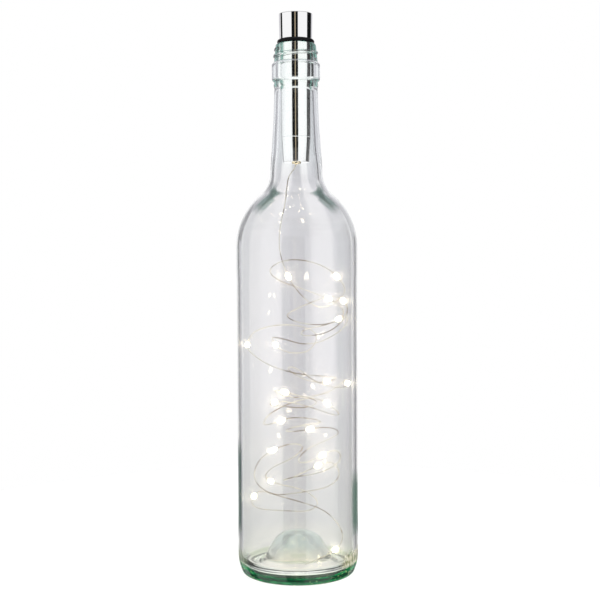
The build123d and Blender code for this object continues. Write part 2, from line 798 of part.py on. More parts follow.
# Lamp string: the points that its thin wire follows down through the glass. The lead's points are
# measured down from the end cap. Each later row starts with the two points beside a lamp.
wire_lead = [(0, 0, 2.8), (-5.2, -0.8, 8.7), (-6.3, -1.5, 22.5), (-11.3, -3, 44.5)]
lamp_rows = [
    [(-9.8, -1, 192), (-1.0, 5.5, 173.2), (14, 17, 160), (28.5, 10, 168)],
    [(30, -5, 176), (17.5, -16, 189.2), (-4, -20, 194), (-19, -6, 187), (-11, 13, 179)],
    [(10, 13, 172), (29.2, 3, 164.2), (27, -11, 155), (8, -22, 153), (-9, -10, 158), (1, 4, 163)],
    [(24, 2, 172), (32, -14, 162.6), (20, -25, 149), (2, -12, 146), (3, 9, 149)],
    [(20, 12, 151.5), (32, 0, 159.5), (28, -14, 150), (8, -14, 140), (-10, -20, 146)],
    [
        (-17, -4, 145.5), (-10, 14, 134), (8, 20, 133), (14, 12, 146), (2, 2, 152), (-14, 10, 152),
        (-27.5, 14, 148),
    ],
    [(-31, 5, 143), (-30.5, -9, 138), (-16, -23, 129), (4, -25, 124), (17, -12, 122)],
    [(27, 2, 119), (10, 16, 113.8), (-8, 12, 124), (-2, -6, 128), (12, -19, 118)],
    [(30, -9, 113.5), (32, 8, 119), (22, 22, 108), (3, 22, 104), (-10, 6, 108)],
    [(-16, -8, 114), (0.6, -17, 111), (14, -5, 106), (6, 12, 99), (-11, 16, 100)],
    [(-20, 3, 103), (-8, -13, 107.6), (10, -22, 104), (24, -17, 98)],
    [(25.5, -2, 99), (11.5, 8, 107.6), (-6, 7, 103), (-19, -2, 97), (-21, -13, 92.5)],
    [(-16, -19, 94), (-3.4, -22, 99), (12, -14, 96), (15, 4, 91), (4, 17, 88), (-9, 9, 86)],
    [(-4, -7, 87), (19, -3, 90.4), (28, 9, 84), (18, 22, 77), (4, 21, 71), (-1, 11, 65)],
    [
        (6.5, 2, 66.5), (23.9, -1, 76.9), (27, -14, 71), (14, -22, 65), (-4, -20, 62),
        (-10, -4, 57), (-5, 10, 55),
    ],
    [
        (4, 16, 58), (21.6, 12, 67.2), (27, -1, 60), (19, -16, 55), (2, -25, 54), (-16, -21, 51),
        (-28, -6, 58),
    ],
    [(-25, 7, 69), (-6, 15, 77), (5, 4, 77), (-2, -10, 72), (-16, -8, 66)],
    [
        (-22, 4, 57), (-12.6, 14, 50.6), (3, 22, 46), (14, 10, 41), (8, -7, 38), (-9, -12, 40),
        (-24, -12, 41),
    ],
    [(-29.5, -5, 43.5), (-25.5, 8, 48.5), (-17, 21, 43), (1, 26, 37), (18, 19, 33), (28, 6, 24)],
    [(27, -8, 18.5), (17, -23, 15.1), (4, -27, 11)],
]
wire_points = [(0, 0, bush_top)] + [(x, y, end_low - drop) for x, y, drop in wire_lead]
wire_points += [point for row in lamp_rows for point in row]
wire_bends = bend_radii(wire_points)
with BuildPart() as string_wire:
    with BuildLine() as wire_path:
        FilletPolyline(*wire_points, radius=wire_bends)
    with BuildSketch(Plane(origin=wire_points[0], z_dir=(0, 0, -1))):
        Circle(wire_radius)
    sweep(path=wire_path.wire())
string_wire.part.label = "string_wire"
print("string_wire length", round(wire_path.wire().length, 1), "bends from", round(min(wire_bends), 2),
      "volume", round(string_wire.part.volume, 2),
      "of", round(wire_path.wire().length * pi * wire_radius ** 2, 2))

# Lamps: a clear drop of resin round the wire, with a chip of the same size as its pocket
lamp_places = []
for before, after, *rest in lamp_rows:
    run = Vector(*after) - Vector(*before)
    lamp_places.append(Plane(origin=Vector(*before) + run / 2, z_dir=run).location)

chip_middle = wire_radius + chip_box_height / 2
with BuildPart() as one_drop:
    with BuildSketch(Plane.XZ):
        with BuildLine():
            drop_bore = wire_radius + drop_clear
            Line((drop_bore, -drop_length / 2), (drop_bore, drop_length / 2))
            Spline(
                (drop_bore, drop_length / 2), (drop_radius, 0), (drop_bore, -drop_length / 2),
                tangents=[(1, 0), (-1, 0)],
            )
        make_face()
    revolve(axis=Axis.Z)
    with Locations((chip_middle, 0, 0)):
        Box(chip_box_height, chip_box_width, chip_box_length, mode=Mode.SUBTRACT)
with BuildPart() as led_drops:
    with Locations(*lamp_places):
        add(one_drop.part)
led_drops.part.label = "led_drops"

with BuildPart() as led_chips:
    with Locations(*lamp_places):
        with Locations((chip_middle, 0, 0)):
            Box(chip_box_height, chip_box_width, chip_box_length)
led_chips.part.label = "led_chips"

# Every piece is written under its own name
for piece in (
    bottle, sealing_ring, body_tube, head_cap, cap_liner, end_cap, exit_bush, core_chassis,
    usb_shell, usb_tongue, usb_contacts, circuit_board, board_chips, board_passives,
    switch_body, switch_button, cell_can, cell_insulator, cell_wrap, cell_pads, nickel_strips,
    wire_knot, splice_sleeves, string_wire, led_drops, led_chips,
):
    print(piece.part.label, len(piece.part.solids()), round(piece.part.volume, 2))
    export_step(piece.part, f"parts/{piece.part.label}.step")
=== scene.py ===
from math import cos, dist, exp, pi, radians, sin
import bmesh
import bpy
from mathutils import Matrix, Vector, noise


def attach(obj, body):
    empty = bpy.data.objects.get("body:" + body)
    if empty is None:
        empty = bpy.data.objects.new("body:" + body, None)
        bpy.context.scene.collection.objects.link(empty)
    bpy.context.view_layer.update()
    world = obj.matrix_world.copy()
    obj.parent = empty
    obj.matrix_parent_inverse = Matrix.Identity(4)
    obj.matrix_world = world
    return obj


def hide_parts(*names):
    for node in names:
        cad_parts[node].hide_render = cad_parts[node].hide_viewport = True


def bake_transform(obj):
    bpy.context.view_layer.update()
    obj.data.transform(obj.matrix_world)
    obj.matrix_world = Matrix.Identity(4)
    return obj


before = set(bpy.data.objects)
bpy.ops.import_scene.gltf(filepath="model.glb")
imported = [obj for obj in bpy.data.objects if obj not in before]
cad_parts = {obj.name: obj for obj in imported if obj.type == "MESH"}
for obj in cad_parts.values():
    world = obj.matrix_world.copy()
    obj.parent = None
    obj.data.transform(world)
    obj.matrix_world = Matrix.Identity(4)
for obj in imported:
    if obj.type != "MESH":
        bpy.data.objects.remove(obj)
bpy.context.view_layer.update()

scene = bpy.context.scene
scene.view_settings.view_transform = "Standard"
mm = 0.001


# Shader expressions: a signal is an output socket that takes part in sums
class signal:
    def __init__(self, net, socket):
        self.net = net
        self.socket = socket

    def maths(self, operation, other=None, swapped=False):
        terms = [self] if other is None else [self, other]
        if swapped:
            terms.reverse()
        return self.net.add("ShaderNodeMath", {"operation": operation}, dict(enumerate(terms)))

    def __add__(self, other):
        return self.maths("ADD", other)

    def __sub__(self, other):
        return self.maths("SUBTRACT", other)

    def __rsub__(self, other):
        return self.maths("SUBTRACT", other, swapped=True)

    def __mul__(self, other):
        return self.maths("MULTIPLY", other)

    def __truediv__(self, other):
        return self.maths("DIVIDE", other)

    def __rtruediv__(self, other):
        return self.maths("DIVIDE", other, swapped=True)

    def __gt__(self, other):
        return self.maths("GREATER_THAN", other)

    def __lt__(self, other):
        return self.maths("LESS_THAN", other)

    def ramp(self, low, high, start=0.0, end=1.0):
        return self.net.add(
            "ShaderNodeMapRange", {"interpolation_type": "SMOOTHSTEP", "clamp": True},
            {"Value": self, "From Min": low, "From Max": high, "To Min": start, "To Max": end},
        )

    def fall(self, low, high):
        return self.ramp(low, high, 1.0, 0.0)

    def between(self, foot, top):
        return self.ramp(*foot) * self.fall(*top)

    __radd__ = __add__
    __rmul__ = __mul__


class shaderNet:
    def __init__(self, tree):
        self.tree = tree
        tree.nodes.clear()

    def add(self, kind, settings=None, sockets=None, out=0):
        node = self.tree.nodes.new(kind)
        for key, value in (settings or {}).items():
            setattr(node, key, value)
        for key, value in (sockets or {}).items():
            if isinstance(value, signal):
                self.tree.links.new(value.socket, node.inputs[key])
            else:
                node.inputs[key].default_value = value
        return signal(self, node.outputs[out]) if node.outputs else None

    def place(self):
        return self.add("ShaderNodeTexCoord", out="Object")

    def parts(self, vector):
        split = self.add("ShaderNodeSeparateXYZ", None, {0: vector}).socket.node
        return [signal(self, output) for output in split.outputs]

    def noise(self, scale, detail=2.0, stretch=(1, 1, 1)):
        spot = self.add("ShaderNodeMapping", None, {"Vector": self.place(), "Scale": stretch})
        return self.add(
            "ShaderNodeTexNoise", None, {"Vector": spot, "Scale": scale, "Detail": detail},
        )

    # Inputs 6 and 7 and output 2 are the colour sockets of a Mix node
    def blend(self, factor, first, second):
        return self.add(
            "ShaderNodeMix", {"data_type": "RGBA"}, {0: factor, 6: first, 7: second}, out=2,
        )

    def cover(self, factor, under, over):
        return self.add("ShaderNodeMixShader", None, {0: factor, 1: under, 2: over})

    def principled(self, **sockets):
        names = {key.replace("_", " "): value for key, value in sockets.items()}
        return self.add("ShaderNodeBsdfPrincipled", None, names)

    def rays(self, kind):
        return self.add("ShaderNodeLightPath", out=kind)

    def bump(self, height, strength, distance):
        return self.add(
            "ShaderNodeBump", None, {"Height": height, "Strength": strength, "Distance": distance},
        )


def rgb(red, green, blue):
    return (red, green, blue, 1.0)


def material(name, recipe):
    made = bpy.data.materials.new(name)
    made.use_nodes = True
    net = shaderNet(made.node_tree)
    outputs = recipe(net)
    net.add("ShaderNodeOutputMaterial", None, outputs)
    return made


def surface(net, **sockets):
    return {"Surface": net.principled(**sockets)}


# Camera: a long lens, level with the middle of the bottle and tipped down a little
cameraSet = {"lens": 67.02, "sensor": 36.0, "distance": 0.686, "height": 0.1976,
             "aside": 0.0018, "tip": 2.5, "roll": -0.29}
cameraData = bpy.data.cameras.new("productCamera")
cameraData.lens = cameraSet["lens"]
cameraData.sensor_width = cameraSet["sensor"]
camera = bpy.data.objects.new("productCamera", cameraData)
scene.collection.objects.link(camera)
camera.matrix_world = (
    Matrix.Translation((cameraSet["aside"], -cameraSet["distance"], cameraSet["height"]))
    @ Matrix.Rotation(radians(90 - cameraSet["tip"]), 4, "X")
    @ Matrix.Rotation(radians(cameraSet["roll"]), 4, "Z")
)
scene.camera = camera
print("camera placed")


# Lamp string: its thin wire leaves the bush straight down. Each later row starts with the two points on
# either side of a lamp. Millimetres here.
stringSet = {"strandRadius": 0.175, "twistPitch": 3.4, "sides": 6, "step": 0.8, "splineSteps": 24,
             "dropRadius": 1.6, "dropLength": 5.0, "chipWidth": 0.7, "chipLength": 1.0, "chipAside": 0.6}
wireLead = [
    (0, 0, 253.6), (0, 0, 249.2), (-5.2, -0.8, 243.3), (-6.3, -1.5, 229.5), (-11.3, -3, 207.5),
]
lampRows = [
    [(-9.8, -1, 192), (-1.0, 5.5, 173.2), (14, 17, 160), (28.5, 10, 168)],
    [(30, -5, 176), (17.5, -16, 189.2), (-4, -20, 194), (-19, -6, 187), (-11, 13, 179)],
    [(10, 13, 172), (29.2, 3, 164.2), (27, -11, 155), (8, -22, 153), (-9, -10, 158), (1, 4, 163)],
    [(24, 2, 172), (32, -14, 162.6), (20, -25, 149), (2, -12, 146), (3, 9, 149)],
    [(20, 12, 151.5), (32, 0, 159.5), (28, -14, 150), (8, -14, 140), (-10, -20, 146)],
    [
        (-17, -4, 145.5), (-10, 14, 134), (8, 20, 133), (14, 12, 146), (2, 2, 152), (-14, 10, 152),
        (-27.5, 14, 148),
    ],
    [(-31, 5, 143), (-30.5, -9, 138), (-16, -23, 129), (4, -25, 124), (17, -12, 122)],
    [(27, 2, 119), (10, 16, 113.8), (-8, 12, 124), (-2, -6, 128), (12, -19, 118)],
    [(30, -9, 113.5), (32, 8, 119), (22, 22, 108), (3, 22, 104), (-10, 6, 108)],
    [(-16, -8, 114), (0.6, -17, 111), (14, -5, 106), (6, 12, 99), (-11, 16, 100)],
    [(-20, 3, 103), (-8, -13, 107.6), (10, -22, 104), (24, -17, 98)],
    [(25.5, -2, 99), (11.5, 8, 107.6), (-6, 7, 103), (-19, -2, 97), (-21, -13, 92.5)],
    [(-16, -19, 94), (-3.4, -22, 99), (12, -14, 96), (15, 4, 91), (4, 17, 88), (-9, 9, 86)],
    [(-4, -7, 87), (19, -3, 90.4), (28, 9, 84), (18, 22, 77), (4, 21, 71), (-1, 11, 65)],
    [
        (6.5, 2, 66.5), (23.9, -1, 76.9), (27, -14, 71), (14, -22, 65), (-4, -20, 62),
        (-10, -4, 57), (-5, 10, 55),
    ],
    [
        (4, 16, 58), (21.6, 12, 67.2), (27, -1, 60), (19, -16, 55), (2, -25, 54), (-16, -21, 51),
        (-28, -6, 58),
    ],
    [(-25, 7, 69), (-6, 15, 77), (5, 4, 77), (-2, -10, 72), (-16, -8, 66)],
    [
        (-22, 4, 57), (-12.6, 14, 50.6), (3, 22, 46), (14, 10, 41), (8, -7, 38), (-9, -12, 40),
        (-24, -12, 41),
    ],
    [(-29.5, -5, 43.5), (-25.5, 8, 48.5), (-17, 21, 43), (1, 26, 37), (18, 19, 33), (28, 6, 24)],
    [(27, -8, 18.5), (17, -23, 15.1), (4, -27, 11)],
]
wirePoints = [Vector(point) * mm for point in wireLead]
wirePoints += [Vector(point) * mm for row in lampRows for point in row]


def linkMesh(name, mesh):
    piece = bpy.data.objects.new(name, mesh)
    scene.collection.objects.link(piece)
    return piece


def smooth(mesh, angle=40):
    mesh.shade_smooth()
    mesh.set_sharp_from_angle(angle=radians(angle))


def readSpline(points, resolution):
    curve = bpy.data.curves.new("routeReading", "CURVE")
    curve.dimensions = "3D"
    spline = curve.splines.new("NURBS")
    spline.points.add(len(points) - 1)
    for target, point in zip(spline.points, points):
        target.co = (*point, 1.0)
    spline.order_u = 3
    spline.use_endpoint_u = True
    spline.resolution_u = resolution
    holder = bpy.data.objects.new("routeReading", curve)
    scene.collection.objects.link(holder)
    graph = bpy.context.evaluated_depsgraph_get()
    read = bpy.data.meshes.new_from_object(holder.evaluated_get(graph))
    places = [vertex.co.copy() for vertex in read.vertices]
    bpy.data.objects.remove(holder)
    return places


def evenSteps(places, step):
    length = sum((b - a).length for a, b in zip(places, places[1:]))
    count = round(length / step)
    spacing = length / count
    even = [places[0].copy()]
    travelled = 0.0
    for a, b in zip(places, places[1:]):
        run = (b - a).length
        while run > 0 and len(even) < count and travelled + run >= spacing * len(even):
            even.append(a.lerp(b, (spacing * len(even) - travelled) / run))
        travelled += run
    even.append(places[-1].copy())
    return even, length


def carriedFrames(places):
    frames = []
    side = Vector((1, 0, 0))
    for index, place in enumerate(places):
        before = places[max(index - 1, 0)]
        after = places[min(index + 1, len(places) - 1)]
        along = (after - before).normalized()
        side = (side - along * side.dot(along)).normalized()
        frames.append((place, side, along.cross(side), along))
    return frames


def tubeFaces(mesh, rings):
    for lower, upper in zip(rings, rings[1:]):
        for index in range(len(lower)):
            after = (index + 1) % len(lower)
            mesh.faces.new((lower[index], lower[after], upper[after], upper[index]))
    mesh.faces.new(list(reversed(rings[0])))
    mesh.faces.new(rings[-1])


wireLine, wireLength = evenSteps(readSpline(wirePoints, stringSet["splineSteps"]), stringSet["step"] * mm)
wireFrames = carriedFrames(wireLine)


def makeWire():
    made = bmesh.new()
    strand = stringSet["strandRadius"] * mm
    twist = 2 * pi * stringSet["step"] / stringSet["twistPitch"]
    for start in (0, pi):
        rings = []
        for index, (place, side, across, along) in enumerate(wireFrames):
            angle = start + twist * index
            out = side * cos(angle) + across * sin(angle)
            turned = along.cross(out)
            middle = place + out * strand
            ring = []
            for corner in range(stringSet["sides"]):
                spin = 2 * pi * corner / stringSet["sides"]
                ring.append(made.verts.new(middle + (out * cos(spin) + turned * sin(spin)) * strand))
            rings.append(ring)
        tubeFaces(made, rings)
    mesh = bpy.data.meshes.new("lampWire")
    made.to_mesh(mesh)
    made.free()
    mesh.shade_smooth()
    return linkMesh("lampWire", mesh)


def lampPlaces():
    found = []
    for before, after, *rest in lampRows:
        middle = (Vector(before) + Vector(after)) * mm / 2
        along = (Vector(after) - Vector(before)).normalized()
        side = along.orthogonal().normalized()
        found.append((middle, side, along.cross(side), along))
    return found


lampFrames = lampPlaces()
lampWire = makeWire()
print("lamp wire", round(wireLength, 4), "m,", len(lampWire.data.polygons), "faces")


# Round pieces are turned from a profile of (radius, height) points in millimetres
def roundCorners(corners, steps=4):
    line = []
    for index, (radius, height, rounding) in enumerate(corners):
        here = Vector((radius, height))
        if not rounding:
            line.append((radius, height))
            continue
        before = Vector(corners[index - 1][:2]) - here
        after = Vector(corners[(index + 1) % len(corners)][:2]) - here
        start = here + before.normalized() * rounding
        end = here + after.normalized() * rounding
        for step in range(steps + 1):
            share = step / steps
            line.append(tuple(start.lerp(here, share).lerp(here.lerp(end, share), share)))
    return line


def flowThrough(points, first, last, steps):
    places = [Vector(point) for point in points]
    slopes = [(after - before) / 2 for before, after in zip(places, places[2:])]
    slopes = (
        [Vector(first).normalized() * (places[1] - places[0]).length] + slopes
        + [Vector(last).normalized() * (places[-1] - places[-2]).length]
    )
    line = [tuple(places[0])]
    for index in range(len(places) - 1):
        here, after = places[index], places[index + 1]
        leave, arrive = slopes[index], slopes[index + 1]
        for step in range(1, steps + 1):
            t = step / steps
            line.append(tuple(
                here * (2 * t ** 3 - 3 * t ** 2 + 1) + leave * (t ** 3 - 2 * t ** 2 + t)
                + after * (3 * t ** 2 - 2 * t ** 3) + arrive * (t ** 3 - t ** 2)
            ))
    return line


def arcRound(middle, radius, start, end, steps):
    angles = [radians(start + (end - start) * step / steps) for step in range(steps + 1)]
    return [(middle[0] + radius * cos(angle), middle[1] + radius * sin(angle)) for angle in angles]


def straight(start, end, steps):
    return [
        (start[0] + (end[0] - start[0]) * step / steps, start[1] + (end[1] - start[1]) * step / steps)
        for step in range(steps + 1)
    ]


def tidyLine(points):
    kept = [points[0]]
    for point in points[1:]:
        if dist(point, kept[-1]) > 0.02:
            kept.append(point)
    return kept


def holdEdges(points, margin=0.12, ring=False):
    held = []  # extra points close to the ends of each long run keep its shading flat
    following = points[1:] + ([points[0]] if ring else [])
    for here, after in zip(points, following):
        held.append(here)
        run = dist(here, after)
        if run > 8 * margin:
            for share in (margin / run, 1 - margin / run):
                held.append(tuple(a + (b - a) * share for a, b in zip(here, after)))
    if not ring:
        held.append(points[-1])
    return held


# A ring of vertices for each profile point. The profile runs so that the solid lies on its left.
def turnProfile(name, profile, segments, ring=False, shift=None, sharp=40, hold=False):
    made = bmesh.new()
    rings = []
    line = holdEdges(tidyLine(profile), ring=ring) if hold else tidyLine(profile)
    for order, (radius, height) in enumerate(line):
        if radius < 0.001:
            rings.append([made.verts.new((0, 0, height * mm))])
            continue
        circle = []
        for step in range(segments):
            angle = 2 * pi * step / segments
            reach = radius + (shift(order, radius, height, angle) if shift else 0)
            circle.append(made.verts.new((reach * mm * cos(angle), reach * mm * sin(angle), height * mm)))
        rings.append(circle)
    pairs = list(zip(rings, rings[1:])) + ([(rings[-1], rings[0])] if ring else [])
    for lower, upper in pairs:
        for step in range(segments):
            after = (step + 1) % segments
            if len(lower) == 1:
                made.faces.new((lower[0], upper[after], upper[step]))
            elif len(upper) == 1:
                made.faces.new((lower[step], lower[after], upper[0]))
            else:
                made.faces.new((lower[step], lower[after], upper[after], upper[step]))
    bmesh.ops.recalc_face_normals(made, faces=made.faces)
    mesh = bpy.data.meshes.new(name)
    made.to_mesh(mesh)
    made.free()
    smooth(mesh, sharp)
    return linkMesh(name, mesh)


# Bottle: one wall of glass, from the dome under it, up the outside, over the lip and down inside
bottleSet = {"segments": 240, "body": 37.15, "panel": 36.9, "panelFoot": 40, "panelTop": 176,
             "shoulder": 200, "shoulderArc": 42.0, "bend": 50.2, "throat": 245.48, "throatArc": 17.2,
             "neckRoot": 15.85, "sleeveFoot": 312.4, "sleeveTop": 321.4, "lip": 323.5, "bore": 9.45,
             "boreFoot": 317.5, "glass": 2.8, "innerHeel": 6.5, "floor": 6, "seamHeight": 0.05,
             "seamWidth": 0.35}
threadSet = {"pitch": 4.2, "start": 314.0, "turns": 1.55, "rise": 0.78, "width": 1.9, "edge": 0.5,
             "fade": 0.07}
waveSet = {"height": 0.03, "around": 1.3, "upward": 34, "calmTop": 250, "calmRun": 40, "calmReach": 30}
bodyRadius, panelRadius, glassWall = bottleSet["body"], bottleSet["panel"], bottleSet["glass"]
panelFoot, panelTop = bottleSet["panelFoot"], bottleSet["panelTop"]
shoulderFoot, shoulderArc, bendAngle = bottleSet["shoulder"], bottleSet["shoulderArc"], bottleSet["bend"]
throatTop, throatArc, neckRoot = bottleSet["throat"], bottleSet["throatArc"], bottleSet["neckRoot"]
sleeveFoot, sleeveTop, lipTop = bottleSet["sleeveFoot"], bottleSet["sleeveTop"], bottleSet["lip"]
boreRadius, boreFoot = bottleSet["bore"], bottleSet["boreFoot"]
innerRadius, innerHeel = bodyRadius - glassWall, bottleSet["innerHeel"]
innerHeelTop = bottleSet["floor"] + innerHeel
shoulderMiddle = (bodyRadius - shoulderArc, shoulderFoot)
throatMiddle = (neckRoot + throatArc, throatTop)
outside = (
    flowThrough([(0, 19.8), (9.2, 16.4), (16.6, 9.0), (24.5, 2.6), (31.6, 0)], (1, 0), (1, 0), 7)
    + flowThrough([(33.2, 0), (36.0, 4.2), (bodyRadius, 11)], (1, 0), (0, 1), 9)
    + straight((bodyRadius, 11), (bodyRadius, 20), 3)
    + flowThrough([(bodyRadius, 20), (panelRadius, panelFoot)], (0, 1), (0, 1), 8)
    + straight((panelRadius, panelFoot), (panelRadius, panelTop), 18)
    + flowThrough([(panelRadius, panelTop), (bodyRadius, 190)], (0, 1), (0, 1), 6)
    + straight((bodyRadius, 190), (bodyRadius, shoulderFoot), 2)
    + arcRound(shoulderMiddle, shoulderArc, 0, bendAngle, 22)
    + arcRound(throatMiddle, throatArc, 180 + bendAngle, 180, 12)
    + flowThrough(
        [(neckRoot, throatTop), (14.84, 261.8), (13.86, 277.1), (13.2, 296.5)], (0, 1), (-0.03, 1), 5,
    )
    + flowThrough([(13.2, 296.5), (13.6, 298.4), (13.2, 300.3)], (0.3, 1), (-0.3, 1), 4)
    + roundCorners([
        (13.2, 300.3, 0), (14.4, 301.3, 0.3), (14.7, 302.5, 0.4), (14.7, 311.1, 0.5), (13.8, 312.0, 0.3),
        (13.35, sleeveFoot, 0),
    ])
)
threadFoot = len(tidyLine(outside))
outside += (
    straight((13.35, sleeveFoot), (12.45, sleeveTop), 44)
    + flowThrough([(12.45, sleeveTop), (12.12, 322.9), (11.3, lipTop)], (-0.1, 1), (-1, 0.05), 5)
)
threadTop = len(tidyLine(outside))
outside += roundCorners([(11.3, lipTop, 0), (boreRadius, lipTop, 0.5), (boreRadius, boreFoot, 0)])[:-1]
insideStart = len(tidyLine(outside))
inside = (
    straight((boreRadius, lipTop - 0.5), (boreRadius, boreFoot), 3)
    + flowThrough(
        [(boreRadius, boreFoot), (10.35, 285.1), (11.3, 262.0), (neckRoot - glassWall, throatTop)],
        (0, -1), (0, -1), 7,
    )
    + arcRound(throatMiddle, throatArc + glassWall, 180, 180 + bendAngle, 12)
    + arcRound(shoulderMiddle, shoulderArc - glassWall, bendAngle, 0, 20)
    + straight((innerRadius, shoulderFoot), (innerRadius, innerHeelTop), 44)
    + arcRound((innerRadius - innerHeel, innerHeelTop), innerHeel, 0, -90, 8)
    + flowThrough([(26.5, 6), (21.0, 8.6), (17.6, 14.6), (11.6, 22.0), (0, 24.8)], (-1, 0), (-1, 0), 7)
)


def threadRise(height, angle):
    rise = 0.0
    for lap in (0, 1):
        along = (angle / (2 * pi)) % 1.0 + lap
        fade = min(1.0, min(along, threadSet["turns"] - along) / threadSet["fade"])
        if fade <= 0:
            continue
        off = abs(height - threadSet["start"] - threadSet["pitch"] * along)
        crest = min(1.0, max(0.0, (threadSet["width"] / 2 - off) / threadSet["edge"]))
        rise = max(rise, crest * crest * (3 - 2 * crest) * fade * threadSet["rise"])
    return rise


def shapeGlass(order, radius, height, angle):
    if threadFoot - 2 <= order <= threadTop:
        return threadRise(height, angle)
    if order >= insideStart:
        around = waveSet["around"]
        spot = Vector((cos(angle) * around, sin(angle) * around, height / waveSet["upward"]))
        calm = min(1.0, max(0.0, (waveSet["calmTop"] - height) / waveSet["calmRun"]))
        calm *= min(1.0, radius / waveSet["calmReach"])
        return noise.noise(spot) * waveSet["height"] * calm
    if panelFoot < height < panelTop and radius > 36:
        turns = (angle % pi, pi - angle % pi)
        seam = sum(exp(-((turn * panelRadius / bottleSet["seamWidth"]) ** 2)) for turn in turns)
        return seam * bottleSet["seamHeight"]
    return 0.0


bottleShell = turnProfile(
    "bottleShell", outside + inside, bottleSet["segments"], shift=shapeGlass, sharp=60,
)
print("bottle", len(bottleShell.data.polygons), "faces")

# Stopper: a thin head, a long tube and an end cap, all in polished metal, and the seal between
stopperSet = {"segments": 160, "headEdge": 0.35, "softEdge": 0.12, "fineEdge": 0.05, "headBore": 9.2,
              "headFoot": 326.15, "headRoof": 340.6, "headTop": 341.5, "tube": 8.9, "tubeBore": 8.2,
              "tubeTop": 328.0, "grooveReach": 8.62, "grooveFoot": 323.45, "grooveTop": 326.05,
              "tubeFoot": 267.0, "tailFoot": 252.0, "tailFloor": 253.0, "collar": 8.15,
              "collarTop": 271.5, "room": 7.5, "well": 6.6, "outlet": 2.25}
softEdge, fineEdge = stopperSet["softEdge"], stopperSet["fineEdge"]
headBore, headFoot = stopperSet["headBore"], stopperSet["headFoot"]
headRoof, headTop = stopperSet["headRoof"], stopperSet["headTop"]
headShell = turnProfile("headShell", roundCorners([
    (0, headRoof, 0), (headBore, headRoof, 0), (headBore, headFoot, softEdge), (10.0, headFoot, softEdge),
    (10.25, headTop, stopperSet["headEdge"]), (0, headTop, 0),
]), stopperSet["segments"], hold=True)
tube, tubeBore = stopperSet["tube"], stopperSet["tubeBore"]
tubeFoot, tubeTop = stopperSet["tubeFoot"], stopperSet["tubeTop"]
grooveReach, grooveFoot = stopperSet["grooveReach"], stopperSet["grooveFoot"]
grooveTop = stopperSet["grooveTop"]
tubeShell = turnProfile("tubeShell", roundCorners([
    (tubeBore, tubeFoot, fineEdge), (tube, tubeFoot, 0.3), (tube, grooveFoot, fineEdge),
    (grooveReach, grooveFoot, 0), (grooveReach, grooveTop, 0), (tube, grooveTop, fineEdge),
    (tube, tubeTop, softEdge), (tubeBore, tubeTop, fineEdge),
]), stopperSet["segments"], ring=True, hold=True)
tailSlots = {"half": 1.9, "reach": 8.1, "rightFoot": 261.5, "leftFoot": 264.4}


def cutSlots(order, radius, height, angle):
    inner = radius < 7.9 and height > 261 or radius < 8.3 and height > 267.05
    if not inner or radius < 6.5 or abs(cos(angle)) * radius > tailSlots["half"]:
        return 0.0
    foot = tailSlots["rightFoot"] if sin(angle) > 0 else tailSlots["leftFoot"]
    return tailSlots["reach"] - radius if height >= foot else 0.0


tailFoot, tailFloor, outlet = stopperSet["tailFoot"], stopperSet["tailFloor"], stopperSet["outlet"]
collar, collarTop = stopperSet["collar"], stopperSet["collarTop"]
room, well = stopperSet["room"], stopperSet["well"]
tailCap = turnProfile("tailCap", roundCorners([
    (outlet, tailFoot, 0), (8.05, tailFoot, 0.4), (8.88, 266.6, 0.1), (8.65, tubeFoot, 0),
    (collar, tubeFoot, 0), (collar, collarTop, 0), (room, collarTop, 0), (room, tailSlots["leftFoot"], 0),
    (well, tailSlots["leftFoot"], 0), (well, tailSlots["rightFoot"], 0), (well, tailFloor, 0),
    (outlet, tailFloor, 0),
]), stopperSet["segments"], ring=True, shift=cutSlots, hold=True)
sealSet = {"radius": 10.0, "middle": 324.75, "section": 1.35, "flat": 1.25, "steps": 36}
sealFlat = sealSet["flat"]
sealLine = [
    (reach, sealSet["middle"] + max(-sealFlat, min(sealFlat, rise)))
    for reach, rise in arcRound((sealSet["radius"], 0), sealSet["section"], -180, 180, sealSet["steps"])
][:-1]
sealRing = turnProfile("sealRing", sealLine, stopperSet["segments"], ring=True)
bushSet = {"segments": 96, "stem": 2.2, "head": 3.0, "bore": 0.5, "top": 253.6, "lip": 250.9, "edge": 0.1}
bushTop, bushLip, bushEdge = bushSet["top"], bushSet["lip"], bushSet["edge"]
bushLine = (
    roundCorners([
        (bushSet["stem"], tailFoot, 0), (bushSet["stem"], tailFloor, 0),
        (bushSet["head"], tailFloor, bushEdge), (bushSet["head"], bushTop, bushEdge),
        (bushSet["bore"], bushTop, bushEdge), (bushSet["bore"], bushLip, 0.15), (0.65, bushLip, 0),
    ])
    + flowThrough([(0.65, bushLip), (2.5, 251.25), (2.85, tailFoot)], (1, 0), (0, 1), 6)
)
exitBush = turnProfile("exitBush", bushLine, bushSet["segments"], ring=True)
stopperShells = (headShell, tubeShell, tailCap, sealRing)
print("stopper", sum(len(piece.data.polygons) for piece in stopperShells), "faces")


